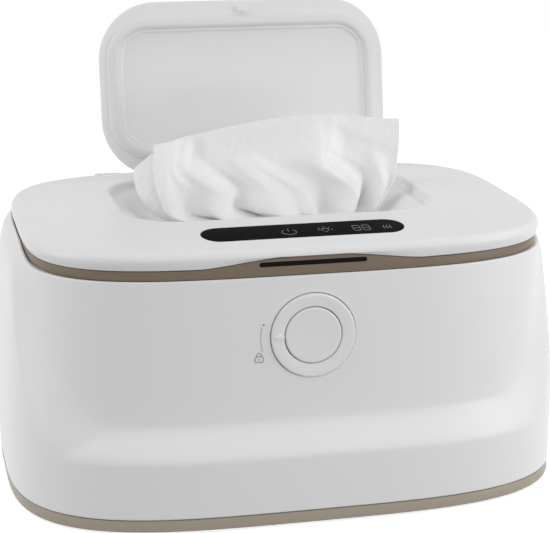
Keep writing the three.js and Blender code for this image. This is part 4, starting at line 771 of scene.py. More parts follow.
def build_tray(scene):
    plan, heights = plan_and_heights(scene)
    angles = plan_angles(scene, 300)
    inset = plan.tray_inset
    half_x, half_y = plan.flare_x - inset, plan.flare_y - inset
    outline = lambda more: superellipse(angles, half_x - more, half_y - more, plan.flare_power)
    bottom, top = heights.foot, heights.tray_top
    edge = plan.edge
    rings = [at(outline(24 * MM), bottom), at(outline(6 * MM), bottom)]
    for inward, up in rounding(-90, 0, 8):
        rings.append(at(outline(edge * inward), bottom + edge * (1 + up)))
    rings += [at(outline(0), top - 0.25 * MM), at(outline(0.08 * MM), top - 0.08 * MM), at(outline(0.25 * MM), top)]
    for more, z in ((2.2, top), (2.2, top + 4 * MM), (4.2, top + 4 * MM), (4.2, bottom + 2.4 * MM)):
        rings.append(at(outline(more * MM), z))
    body = loft("tray_shell", rings, True, True)
    cutters = []
    for sx in (-1, 1):
        for sy in (-1, 1):
            cutters.append(rod("cut", 8.3 * MM, -1 * MM, bottom + 0.9 * MM, "Z", (sx * FOOT_X, sy * FOOT_Y, 0), 48))
            cutters.append(rod("cut", 3.3 * MM, -1 * MM, bottom + 2.1 * MM, "Z", (sx * SCREW_X, sy * SCREW_Y, 0), 40))
    carve(body, *cutters)
    # The tray's taupe is lightened as painted light at the foot
    return dress(body, "taupe", "base", "taupe_trim", "base_tray")


def build_trim(scene):
    plan, heights = plan_and_heights(scene)
    strip = scene.warmer_strip
    angles = plan_angles(scene, 300)
    outline = lambda more: superellipse(angles, BAND_X - more, BAND_Y - more, plan.panel_power)
    bottom, top = heights.rim + 0.3 * MM, heights.lid_edge - 0.3 * MM
    flange = top - 0.3 * MM
    tub = round_rect(angles, 100.5 * MM, 60.5 * MM, 29 * MM, 7 * MM)
    rings = []
    edge = 0.25 * MM
    outer = outline(0)
    lift = rise(outer)
    rings += [at(outline(edge), bottom), at(outline(edge * 0.3), bottom + edge * 0.3), at(outer, bottom + edge)]
    rings += [at(outer, top - edge + lift), at(outline(edge * 0.3), top - edge * 0.3 + lift)]
    rings += [at(outline(edge), top + lift), at(outline(1.2 * MM), top + lift), at(outline(1.2 * MM), flange)]
    rings += [at(tub, flange), at(tub, flange - 2.2 * MM)]
    for inset, height in ((4.4, flange - 2.2 * MM), (4.4, bottom - 3.3 * MM), (2.8, bottom - 3.3 * MM), (2.8, bottom)):
        rings.append(at(outline(inset * MM), height))
    body = loft("trim_band", rings, wrap=True)
    half, high = strip.slot_x, strip.slot_height / 2
    centre_z = flange + 0.3 * MM + high
    slot = round_stadium("slot_cut", half, high, -0.09, -0.0819, centre_z)
    window = box_object("hook_cut", (-7.3 * MM, -76 * MM, flange - 4 * MM), (7.3 * MM, -60.5 * MM, flange + 2 * MM))
    carve(body, slot, window)
    # The band's taupe is darkened as painted shade under the lid
    dress(body, "taupe_ring_painted_shade", "base", "taupe_trim", "trim_frame")
    insert = round_stadium("slot_window", half - 0.12 * MM, high - 0.12 * MM, -83.75 * MM, -82.9 * MM, centre_z)
    dress(insert, "slot", "base", "dark_gloss", "front_window")
    return body


def round_stadium(name, half_x, half_z, from_y, to_y, centre_z, steps=16):
    """A bar along Y whose section is a slot with round ends."""
    right = np.linspace(-math.pi / 2, math.pi / 2, steps)
    x = np.concatenate([half_x - half_z + half_z * np.cos(right), -(half_x - half_z) - half_z * np.cos(right)])
    z = np.concatenate([half_z * np.sin(right), -half_z * np.sin(right)])
    ring = lambda y: np.column_stack([x, np.full(len(x), y), centre_z + z])
    return loft(name, [ring(to_y), ring(from_y)], True, True)


def bowl_distance(scene, x, y):
    """Distance inwards from the bowl's wall."""
    bowl = scene.warmer_bowl
    qx = np.abs(x) - (bowl.half_x - bowl.corner)
    qy = np.abs(y - bowl.centre_y) - (bowl.half_y - bowl.corner)
    outside = np.hypot(np.maximum(qx, 0), np.maximum(qy, 0)) + np.minimum(np.maximum(qx, qy), 0)
    return bowl.corner - outside


def floor_height(scene, x, y):
    bowl, heights = scene.warmer_bowl, scene.warmer_heights
    d = np.maximum(bowl_distance(scene, x, y), 0)
    return heights.bowl_rim - bowl.wall_depth - bowl.sink * smooth((d - 2.5 * MM) / bowl.fall)


def build_lid(scene):
    plan, heights = plan_and_heights(scene)
    bowl, cover, strip = scene.warmer_bowl, scene.warmer_cover, scene.warmer_strip
    angles = even_angles(lambda a: superellipse(a, plan.lid_x, plan.lid_y, plan.lid_power), 320)
    lid = lambda more: superellipse(angles, plan.lid_x - more, plan.lid_y - more, plan.lid_power, plan.lid_shift)
    rect = lambda more: round_rect(angles, bowl.half_x + more, bowl.half_y + more, bowl.corner + more, bowl.centre_y)
    wall, fillet, edge = 2.4 * MM, 3.5 * MM, 0.5 * MM
    rings = []
    outer = lid(0)
    lift = rise(outer)
    rings.append(at(lid(wall + 0.3 * MM), heights.lid_edge + lift))
    draw = 1.1 * MM
    for inward, up in rounding(-90, 0, 5):
        rings.append(at(lid(draw + edge * inward), heights.lid_edge + edge * (1 + up) + lift))
    start = heights.shoulder - fillet
    for share in (0.25, 0.5, 0.75):
        side_z = (heights.lid_edge + edge + lift) * (1 - share) + start * share
        rings.append(at(lid(draw * (1 - share) ** 1.6), side_z))
    for inward, up in rounding(0, 84, 13):
        rings.append(at(lid(fillet * inward), start + fillet * up))
    rim = rect(bowl.rim_round)
    shoulder = lid(fillet)
    for share in np.linspace(0, 1, 34) ** 1.25:
        points = shoulder + (rim - shoulder) * share
        rings.append(laid_on(dome_height, scene, points))
    rim_z = dome_height(scene, rim[:, 0], rim[:, 1])
    for down, across in rounding(15, 90, 6):
        rings.append(at(rect(bowl.rim_round * (1 - across)), rim_z - bowl.rim_round * down))
    floor_edge = heights.bowl_rim - bowl.wall_depth
    rings.append(at(rect(0), floor_edge + 0.9 * MM))
    foot = 0.9 * MM
    for inward, down in rounding(30, 90, 3):
        points = rect(-foot * inward)
        rings.append(laid_on(floor_height, scene, points, foot * (1 - down)))
    inner = rect(-foot)
    gate = round_rect(angles, bowl.gate_x + 0.5 * MM, bowl.gate_y + 0.5 * MM, bowl.gate_y + 0.5 * MM)
    gate_tight = round_rect(angles, bowl.gate_x, bowl.gate_y, bowl.gate_y)
    for share in np.linspace(0.04, 1, 26):
        rings.append(laid_on(floor_height, scene, inner + (gate - inner) * share))
    gate_z = floor_height(scene, gate[:, 0], gate[:, 1])
    rings += [at(gate_tight + (gate - gate_tight) * 0.3, gate_z - 0.15 * MM), at(gate_tight, gate_z - 0.5 * MM)]
    under = floor_height(scene, np.array([0.0]), np.array([bowl.centre_y]))[0] - 2 * MM
    pad = round_rect(angles, bowl.gate_x + 8 * MM, bowl.gate_y + 8 * MM, bowl.gate_y + 8 * MM)
    rings += [at(gate_tight, under + 0.05 * MM), at(pad, under + 0.05 * MM)]
    outside = rect(2 * MM)
    for share in (0, 0.3, 0.6, 0.85, 1):
        rings.append(laid_on(floor_height, scene, pad + (outside - pad) * share, -2 * MM))
    for share in (0, 0.3, 0.6, 0.85, 1):
        rings.append(laid_on(dome_height, scene, outside + (lid(fillet) - outside) * share, -wall))
    rings.append(at(lid(wall), start))
    body = loft("lid_top", rings, wrap=True)
    hinge = np.array([cover.hinge_y, cover.hinge_z])
    quarter = np.radians(np.linspace(-90, 0, 12))
    section = np.vstack([hinge, hinge + 6.4 * MM * np.stack([np.cos(quarter), np.sin(quarter)], axis=1)])
    wall_rings = [np.column_stack([np.full(len(section), x), section]) for x in (-49.2 * MM, 49.2 * MM)]
    carve(body, loft("trough_wall", wall_rings, True, True), operation="UNION")
    trough = rod("trough", 4.4 * MM, -47.2 * MM, 47.2 * MM, "X", (0, cover.hinge_y, cover.hinge_z), 64)
    pocket = round_strip(scene, "pocket", strip.half_x + 0.28 * MM, strip.half_y + 0.28 * MM, -1.6 * MM, 3 * MM)
    carve(body, trough, pocket)
    extras = []
    hinge_y, hinge_z = cover.hinge_y, cover.hinge_z
    for side in (-1, 1):
        x0, x1 = span(side, 56, 64)
        low, high = (x0, 80.3 * MM, LID_HINGE[2] - 2 * MM), (x1, LID_HINGE[1], LID_HINGE[2] + 1.4 * MM)
        extras.append(box_object("arm", low, high, 0.4 * MM))
        extras.append(rod("arm", 1.75 * MM, x0, x1, "X", LID_HINGE, 56, 0.3 * MM))
        for low_x, high_x in ((21.6, 25.6), (42.4, 46.4)):
            x0, x1 = span(side, low_x, high_x)
            extras.append(rod("lug", 2.3 * MM, x0, x1, "X", (0, hinge_y, hinge_z), 40, 0.25 * MM))
            low, high = (x0, hinge_y, hinge_z - 4.6 * MM), (x1, hinge_y + 5 * MM, hinge_z + 0.4 * MM)
            extras.append(box_object("lug", low, high, 0.2 * MM))
    joined(body, *extras)
    return dress(body, "white", "lid", "white_shell", "lid_shell")


def round_strip(scene, name, half_x, half_y, low, high, rings_in=6):
    """A slab with round ends whose top and bottom follow the lid's dome at the given offsets."""
    strip = scene.warmer_strip
    angles = even_angles(lambda a: round_rect(a, half_x, half_y, half_y), 160)
    outline = lambda more: round_rect(angles, half_x - more, half_y - more, half_y - more, strip.centre_y)
    ring = lambda more, offset: laid_on(dome_height, scene, outline(more), offset)
    edge = 0.3 * MM
    rings = [ring(half_y * share, low) for share in np.linspace(0.97, 0.1, rings_in)]
    rings += [ring(0, low), ring(0, high - edge)]
    for inward, up in rounding(30, 90, 3):
        rings.append(ring(edge * inward, high - edge * (1 - up)))
    rings += [ring(half_y * share, high) for share in np.linspace(0.1, 0.97, rings_in)]
    return loft(name, rings, True, True)


def build_strip(scene):
    strip = scene.warmer_strip
    lens = round_strip(scene, "touch_lens", strip.half_x, strip.half_y, -1.3 * MM, 0.12 * MM)
    return dress(lens, "black", "lid", "dark_gloss", "control_lens", angle=40)


def cover_frame(scene):
    """Turns what is drawn closed to the pose in which the cover stands open."""
    cover = scene.warmer_cover
    hinge = Matrix.Translation((0, cover.hinge_y, cover.hinge_z))
    return hinge @ Matrix.Rotation(-cover.opened, 4, "X") @ hinge.inverted()


def build_cover(scene):
    cover, heights = scene.warmer_cover, scene.warmer_heights
    half_x, half_y, half = cover.half_x, cover.half_y, cover.bead_width / 2
    angles = even_angles(lambda a: round_rect(a, half_x, half_y, cover.corner), 280)

    def outline(more):
        return round_rect(angles, half_x - more, half_y - more, max(cover.corner - more, 1 * MM), cover.centre_y)

    bead_x = half_x - cover.margin_x - half
    bead_y = half_y - cover.margin_y - half
    bead_corner = cover.corner - cover.margin_y - half
    bead_centre = cover.centre_y - cover.bead_shift
    bead = lambda out: round_rect(angles, bead_x + out, bead_y + out, bead_corner + out, bead_centre)
    top, under = heights.bowl_rim, heights.bowl_rim - cover.thickness
    edge, low_edge = 1.1 * MM, 0.7 * MM
    sunk, foot = 1.2 * MM, -half - 2.2 * MM
    rings = [at(bead(-24 * MM), under + sunk), at(bead(foot), under + sunk)]
    for inward, up in rounding(0, 90, 5):
        rings.append(at(bead(foot + sunk * up), under + sunk * (1 - inward)))
    rings += [at(bead(-half - 0.1 * MM), under), at(bead(half + 0.1 * MM), under)]
    rings.append(at(outline(low_edge + 0.6 * MM), under))
    for inward, up in rounding(-90, 0, 6):
        rings.append(at(outline(low_edge * inward), under + low_edge * (1 + up)))
    for inward, up in rounding(0, 90, 8):
        rings.append(at(outline(edge * inward), top - 0.3 * MM - edge + edge * up))
    for share in (0.15, 0.4, 0.7, 0.95):
        rings.append(at(outline(edge + share * 30 * MM), top - 0.3 * MM + 0.3 * MM * share))
    body = loft("cover_plate", rings, True, True)
    cuts = []
    for side in (-1, 1):
        for low_x, high_x in ((21.2, 26.0), (42.0, 46.8)):
            x0, x1 = span(side, low_x, high_x)
            low = (x0, cover.hinge_y - 3.1 * MM, under - 2 * MM)
            cuts.append(box_object("room", low, (x1, cover.centre_y + half_y + 2 * MM, top + 2 * MM)))
    carve(body, *cuts)
    tip = cover.centre_y - half_y + 2.9 * MM
    low, high = (-2.5 * MM, tip, under - 2 * MM), (2.5 * MM, tip + 2.9 * MM, under + 0.3 * MM)
    extras = [box_object("clasp", low, high, 0.3 * MM)]
    for side in (-1, 1):
        x0, x1 = span(side, 26, 42)
        extras.append(rod("knuckle", 2.3 * MM, x0, x1, "X", (0, cover.hinge_y, cover.hinge_z), 48, 0.3 * MM))
        low = (x0, cover.hinge_y - 3.8 * MM, under + 0.3 * MM)
        extras.append(box_object("arm", low, (x1, cover.hinge_y, top - 0.6 * MM), 0.2 * MM))
    joined(body, *extras)
    crest = -0.3 * half
    bead_rings = [at(bead(-half), under + 1.3 * MM)]
    for angle in np.linspace(180, 360, 22):
        a = math.radians(angle)
        width = half + crest if angle < 270 else half - crest
        bead_rings.append(at(bead(crest + width * math.cos(a)), under + cover.bead_height * math.sin(a)))
    bead_rings.append(at(bead(half), under + 0.3 * MM))
    seal = loft("cover_bead", bead_rings, wrap=True)
    for obj in (body, seal):
        obj.data.transform(cover_frame(scene))
    dress(body, "white", "cover", "white_shell", "flip_cover", angle=35)
    dress(seal, "inner_white", "cover", "silicone", "cover_seal", angle=35)
    return body


def build_lock(scene):
    lock = scene.warmer_lock

    def rounded(radius, y, edge, sign):
        return [(radius + sign * edge * inward, y - edge + edge * up) for inward, up in rounding(0, 90, 7)]

    face, edge = -lock.ring_face, 0.9 * MM
    profile = [(lock.ring_bore, 76.2 * MM), (lock.ring_radius, 76.2 * MM)]
    profile += rounded(lock.ring_radius, face, edge, -1)
    profile += rounded(lock.ring_bore, face - 0.9 * MM, 0.4 * MM, 1)[::-1]
    ring = turned("turn_ring", profile, 192, "Y", (0, 0, lock.centre_z))
    low = (-16.9 * MM, lock.ring_face - 0.12 * MM, lock.centre_z - 0.9 * MM)
    high = (-12.6 * MM, lock.ring_face + 1.6 * MM, lock.centre_z + 0.9 * MM)
    mark = box_object("mark", low, high, 0.3 * MM, 3)
    joined(ring, mark)
    dress(ring, "white", "lock_turn", "white_shell", "lock_ring", angle=35)
    face = -lock.button_face
    stem, back, skirt = 2.9 * MM, 82.7 * MM, 80.7 * MM
    inside = lock.button_radius - 1.6 * MM
    profile = [(0, 63.3 * MM), (stem, 63.3 * MM), (stem, back), (inside, back), (inside, skirt)]
    profile.append((lock.button_radius, skirt))
    profile += rounded(lock.button_radius, face, 0.7 * MM, -1)
    dish = 0.5 * MM
    profile += [(r * MM, face - dish * (1 - (r / 10.8) ** 2)) for r in (10.8, 9, 7, 5, 3, 1.2)]
    button = turned("button_cap", profile + [(0, face - dish)], 160, "Y", (0, 0, lock.centre_z))
    dress(button, "button", "button", "white_shell", "push_button", angle=35)
    return ring


# Plans of the wipe's folds in millimetres, left to right, at heights over the gate
FOLDS = {
    6: [
        (-40, 5), (-47, 6), (-51, 3), (-47, 0), (-44, -1), (-45, -5), (-42, -7), (-36, 1), (-28, -1),
        (-18, -8), (-9, 2), (4, -2), (20, -8), (29, 1), (38, -3), (43, 1), (49, -3), (53, -3),
    ],
    16: [
        (-40, 8), (-52, 9), (-59, 5), (-54, 1), (-48, 0), (-51, -5), (-48, -8), (-40, 2), (-31, -2),
        (-19, -9), (-10, 3), (2, -2), (16, -9), (28, 1), (39, -3), (46, 2), (54, -4), (60, -4),
    ],
    27: [
        (-40, 12), (-52, 13), (-60, 8), (-55, 4), (-50, 2), (-53, -2), (-49, -5), (-45, -3), (-42, -5),
        (-33, 1), (-24, 7), (-10, 2), (0, 2), (12, 7), (26, 5), (40, 3), (52, 3), (62, 0),
    ],
    38: [
        (-42, 14), (-50, 14), (-55, 10), (-53, 7), (-51, 5), (-52, 2), (-48, 2), (-43, 4), (-39, 6),
        (-31, 8), (-22, 9), (-12, 9), (0, 8), (12, 6), (25, 5), (39, 8), (53, 7), (63, 5),
    ],
    50: [
        (-44, 16), (-48, 16), (-51, 14), (-51, 12), (-50, 11), (-49, 9), (-45, 9), (-41, 9), (-36, 9),
        (-29, 9), (-21, 9), (-11, 9), (1, 8), (13, 7), (25, 6), (39, 9), (53, 8), (63, 6),
    ],
}
# How high the free edge stands at each of those places, as a share of the wipe's reach
EDGE_SHARES = [
    0.46, 0.48, 0.54, 0.66, 0.72, 0.77, 0.785, 0.8, 0.815, 0.84, 0.87, 0.905, 0.945, 0.975, 0.98, 0.95, 0.92, 0.91,
]

# Slopes and hollows of the front sheet: a line of [x, height over the gate] points, its half width in
# millimetres and how much more it leans back there
SLOPES = [
    ([(-50, 34), (-50, 20), (-46, 4)], 2.6, 0.5),
    ([(-46, 36), (-33, 29), (-24, 18), (-23, 3)], 4.6, 0.75),
    ([(-40, 24), (-39, 6)], 3.6, -0.55),
    ([(-32, 39), (-28, 31), (-15, 16), (-13, 4)], 2.6, -0.5),
    ([(-9, 22), (2, 16), (10, 5)], 6.5, 0.55),
    ([(-14, 29), (-5, 29), (13, 19), (22, 4)], 2.2, 0.5),
    ([(16, 27), (25, 18), (27, 4)], 4.2, -0.35),
    ([(29, 45), (14, 32)], 4.5, 0.45),
    ([(27, 46), (41, 38), (60, 31)], 2.2, -0.5),
    ([(33, 27), (44, 20)], 3, 0.55),
    ([(30, 31.5), (46, 23)], 1.0, -0.9),
    ([(38, 18), (42, 3)], 1.6, 0.5),
    ([(46, 18), (46, 4)], 2.2, -0.5),
    ([(52, 30), (55, 6)], 3.5, 0.35),
    ([(-20, 38), (12, 38)], 6, -0.15),
]


def blend(here, there, before, after, t):
    """A smooth step between two values that also heeds the one before and the one after."""
    bend = 2 * before - 5 * here + 4 * there - after + t * (3 * (here - there) + after - before)
    return here + 0.5 * t * (there - before + t * bend)


def spline(points, places):
    """A smooth curve through rows of values, read at places from 0 to 1."""
    points = np.asarray(points, float)
    steps = len(points) - 1
    place = np.clip(np.asarray(places, float), 0, 1) * steps
    k = np.minimum(place.astype(int), steps - 1)
    t = (place - k).reshape(-1, *[1] * (points.ndim - 1))
    before, here, there, after = (points[np.clip(k + d, 0, steps)] for d in (-1, 0, 1, 2))
    return blend(here, there, before, after, t)


def slope_share(x, height, line, width):
    """How much of a slope is felt at each place, from its distance to the slope's line."""
    away = np.full(x.shape, np.inf)
    for (x0, z0), (x1, z1) in zip(line, line[1:]):
        run_x, run_z = x1 - x0, z1 - z0
        along = np.clip(((x - x0) * run_x + (height - z0) * run_z) / (run_x**2 + run_z**2), 0, 1)
        away = np.minimum(away, np.hypot(x - x0 - along * run_x, height - z0 - along * run_z))
    return np.exp(-((away / width) ** 2))


def build_wipe(scene):
    """The damp wipe: straight in the gate, its left end turned back in lobes and its front sheet in soft slopes."""
    wipe = scene.warmer_wipe
    across = np.linspace(0, 1, wipe.columns)
    column = np.arange(wipe.columns)
    slit = np.column_stack([(2 * across - 1) * wipe.slit_half / MM, np.zeros(wipe.columns)])
    heights = np.array([0, *FOLDS], float)
    plans = np.stack([slit, *(spline(line, across) for line in FOLDS.values())])
    edge = spline(EDGE_SHARES, across) * wipe.reach / MM
    shares = np.linspace(0, 1, wipe.rows)
    height = shares[:, None] * edge
    band = np.clip(np.searchsorted(heights, height, side="right") - 1, 0, len(heights) - 2)
    step = ((height - heights[band]) / (heights[band + 1] - heights[band]))[..., None]
    before, here, there, after = (plans[np.clip(band + d, 0, len(heights) - 1), column] for d in (-1, 0, 1, 2))
    curve = blend(here, there, before, after, step)
    low = smooth(height / 5)[..., None]
    place = curve * low + (here * (1 - step) + there * step) * (1 - low)
    x, y = place[..., 0], place[..., 1]
    lean = np.full(x.shape, 0.13)
    for line, width, more in SLOPES:
        lean += more * slope_share(x, height, line, width)
    run = np.gradient(height, axis=0)
    back = y[-1] - np.cumsum((lean * run)[::-1], axis=0)[::-1]
    front = back * smooth(height / 6)
    y = y + (front - y) * smooth((across - 0.36) / 0.12)
    ripple = np.sin(x * 0.9 + height * 0.35) * np.sin(x * 0.31 - height * 0.5) + 0.6 * np.sin(x * 1.7 - height * 0.9)
    y = y + ripple * wipe.wrinkle / MM * smooth(height / 8)
    points = np.stack([x, y, wipe.free_edge / MM + height], axis=-1)
    tail = np.column_stack([slit, np.full(wipe.columns, (wipe.free_edge - wipe.tail) / MM)])
    points = np.concatenate([tail[None], points]) * MM
    index = np.arange(points.shape[0] * wipe.columns).reshape(points.shape[0], wipe.columns)
    faces = np.stack([index[:-1, :-1], index[:-1, 1:], index[1:, 1:], index[1:, :-1]], axis=-1).reshape(-1, 4)
    cloth = mesh_object("wipe_cloth", points.reshape(-1, 3), faces.tolist())
    body = cloth.modifiers.new("body", "SOLIDIFY")
    body.thickness = wipe.thickness
    body.offset = 0
    baked(cloth)
    cloth.data.shade_smooth()
    paint(cloth, MATERIALS["cloth"])
    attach(cloth, "lid")
    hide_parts("wipe_sheet")
    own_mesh(cloth)
    return cloth


def numbered(name, count):
    return [f"{name}_{k + 1}" for k in range(count)]


def finish_inner(scene):
    """Materials for the CAD nodes that stay as they are."""
    groups = {
        "grey": (
            "wipe_tub", "lid_liner", "gate_frame", "lock_carrier", "latch_slider", "latch_hook", "temperature_sensor",
        ),
        "silicone": ("lid_gasket", "wipe_gate"),
        "black": ("power_inlet",),
        "aluminium": ("heater_plate",),
        "film": ("heating_film",),
        "foam": ("insulation_pad",),
        "board": ("main_board", "touch_board"),
        "steel": (
            "latch_screw", "button_spring", "hinge_pin_left", "hinge_pin_right", "cover_pin_left", "cover_pin_right",
            *numbered("base_screw", 4), *numbered("board_screw", 2), *numbered("liner_screw", 6),
        ),
    }
    for key, names in groups.items():
        for name in names:
            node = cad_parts[name]
            paint(node, MATERIALS[key])
            shade(node, 35)


def circle_points(centre, radius, start, end, steps=24):
    x, z = centre
    turns = np.radians(np.linspace(start, end, steps))
    return [(x + radius * math.cos(a), z + radius * math.sin(a)) for a in turns]


def padlock(centre, half_width, half_height, corner):
    """The outline of a closed padlock: its body, its shackle and its keyhole."""
    x, z = centre
    body = []
    for sign_x, sign_z, start in ((1, -1, -90), (1, 1, 0), (-1, 1, 90), (-1, -1, 180)):
        corner_at = (x + sign_x * (half_width - corner), z + sign_z * (half_height - corner))
        body += circle_points(corner_at, corner, start, start + 90, 5)
    body.append(body[0])
    bow = 0.63 * half_width
    top = z + half_height
    shackle = [(x - bow, top)] + circle_points((x, top + 0.3 * half_height), bow, 180, 0, 12) + [(x + bow, top)]
    keyhole = [(x, z + 0.3 * half_height), (x, z - 0.3 * half_height)]
    return [body, shackle, keyhole]


def build_marks(scene):
    """The printed arc with its dot and padlock beside the lock ring."""
    lock, plan = scene.warmer_lock, scene.warmer_plan
    centre = (0, lock.centre_z)
    arc = circle_points(centre, 22.5 * MM, 168, 195.5, 24)
    lock_lines = padlock((-23.2 * MM, 72.5 * MM), 1.75 * MM, 1.25 * MM, 0.6 * MM)
    dot_at = circle_points(centre, 22 * MM, 164.8, 164.8, 1)[0]
    on_panel = lambda strokes: [[(x, -plan.panel_y - 0.02 * MM, z) for x, z in stroke] for stroke in strokes]
    marks = swept("lock_marks", on_panel(lock_lines), 0.15 * MM, MATERIALS["print"], 8)
    thin = swept("arc", on_panel([arc]), 0.1 * MM, MATERIALS["print"], 8)
    profile = [(r * MM, height * MM) for r, height in ((0, 0), (0.42, 0), (0.42, 0.1), (0.32, 0.16), (0, 0.16))]
    dot = turned("dot", profile, 28, "Y", (dot_at[0], -plan.panel_y, dot_at[1]))
    paint(dot, MATERIALS["print"])
    joined(marks, thin, dot)
    return dress(marks, "print", "base", "grey_plastic", angle=40)


def digit_strokes(centre, half_width, half_height, lit):
    """A seven-segment digit whose lit segments are given as letters a to g."""
    x, y = centre
    left, right, low, high = x - half_width, x + half_width, y - half_height, y + half_height
    gap = 0.18 * half_width
    ends = {
        "a": ((left + gap, high), (right - gap, high)), "b": ((right, high - gap), (right, y + gap)),
        "c": ((right, y - gap), (right, low + gap)), "d": ((left + gap, low), (right - gap, low)),
        "e": ((left, y - gap), (left, low + gap)), "f": ((left, high - gap), (left, y + gap)),
        "g": ((left + gap, y), (right - gap, y)),
    }
    return [list(ends[letter]) for letter in lit]


def build_icons(scene):
    """The symbols printed on the touch strip: power, lamp, two digits and heat, as lines on the dome."""
    strip = scene.warmer_strip
    y = strip.centre_y - 1.6 * MM
    power = (-6.6 * MM, y - 0.6 * MM)
    strokes = [[(px, power[1] + (py - power[1]) * 0.9) for px, py in circle_points(power, 3.1 * MM, 128, 412, 40)]]
    strokes.append([(power[0], power[1] + 0.8 * MM), (power[0], power[1] + 3.8 * MM)])
    lamp = (9.0 * MM, y)
    strokes.append(circle_points(lamp, 1.5 * MM, -58, 238, 30))
    strokes.append([(lamp[0] - 0.7 * MM, y - 2.2 * MM), (lamp[0] + 0.7 * MM, y - 2.2 * MM)])
    for angle in (0, 45, 90, 135, 180):
        a = math.radians(angle)
        strokes.append([(lamp[0] + r * MM * math.cos(a), y + r * MM * math.sin(a)) for r in (2.3, 3.4)])
    for x in (22.7, 26.9):
        strokes += digit_strokes((x * MM, y), 1.45 * MM, 2.9 * MM, "abcdefg")
    for x in (34.6, 36.0, 37.4):
        strokes.append([(x * MM + 0.35 * MM * math.sin(k * 0.9), y + (k - 6) * 0.36 * MM) for k in range(11)])
    placed = []
    for stroke in strokes:
        placed.append(laid_on(dome_height, scene, np.array(stroke), 0.13 * MM).tolist())
    icons = swept("strip_icons", placed, 0.12 * MM, MATERIALS["icon"], 8)
    return dress(icons, "icon", "lid", "grey_plastic", angle=40)


def build_springs(scene):
    """The two torsion springs of the lid: closed coils round the hinge pin with a leg at each end."""
    turns, coil, thick = 4.5, 1.5 * MM, 0.2 * MM
    strokes = []
    for side in (-1, 1):
        around = np.linspace(0, 2 * math.pi * turns, 120)
        x = side * np.linspace(50.7 * MM, 55.3 * MM, len(around))
        y = LID_HINGE[1] + coil * np.cos(around)
        z = LID_HINGE[2] + coil * np.sin(around)
        line = np.column_stack([x, y, z]).tolist()
        start = [[x[0], y[0], z[0] - share * MM] for share in (2.6, 1.3)]
        end = [[x[-1], y[-1] + coil - share * MM, z[-1]] for share in (0.8, 2.2)]
        strokes.append(start + line + end)
    springs = swept("lid_springs", strokes, thick, MATERIALS["steel"], 8)
    return dress(springs, "steel", "base", "steel", "lid_spring_left", "lid_spring_right", angle=50)


def build_feet(scene):
    """Four rubber feet with two grip grooves each, set at the corners of the tray."""
    outer, groove = 8.0, 0.3
    profile = [(0, 0)]
    for middle in (3.2, 5.6):
        profile += [(middle - 0.5, 0), (middle - 0.25, groove), (middle + 0.25, groove), (middle + 0.5, 0)]
    profile += [(outer - 0.4, 0), (outer - 0.1, 0.12), (outer, 0.4), (outer, 1.75), (0, 1.75)]
    foot = turned("foot", [(r * MM, z * MM) for r, z in profile], 72)
    places = [(side_x * FOOT_X, side_y * FOOT_Y, 0) for side_x in (-1, 1) for side_y in (-1, 1)]
    feet = repeated("rubber_feet", foot, places, MATERIALS["rubber"])
    return dress(feet, None, "base", "foot_rubber", *numbered("rubber_foot", 4))


# Stage


# How strongly the floor shines for the camera on top of the light that falls on it, and its half side in metres
FLOOR_GLOW, FLOOR_HALF = 0.68, 1.4


def seen_as(tree, dim, kind, strength, output):
    """Mixes a dim light for the object with full white for the camera, for gloss and for glass."""
    white = (1, 1, 1, 1)
    feed(tree, dim, {"Color": white, "Strength": strength})
    shown = new_node(tree, kind, {"Color": white, "Strength": 1.0})
    path = tree.nodes.new("ShaderNodeLightPath")
    most = path.outputs["Is Camera Ray"]
    for ray in ("Is Glossy Ray", "Is Transmission Ray"):
        larger = new_node(tree, "ShaderNodeMath", {0: most, 1: path.outputs[ray]})
        larger.operation = "MAXIMUM"
        most = larger.outputs[0]
    mix = new_node(tree, "ShaderNodeMixShader", {0: most, 1: dim.outputs[0], 2: shown.outputs[0]})
    tree.links.new(mix.outputs["Shader"], tree.nodes[output].inputs["Surface"])
    return shown


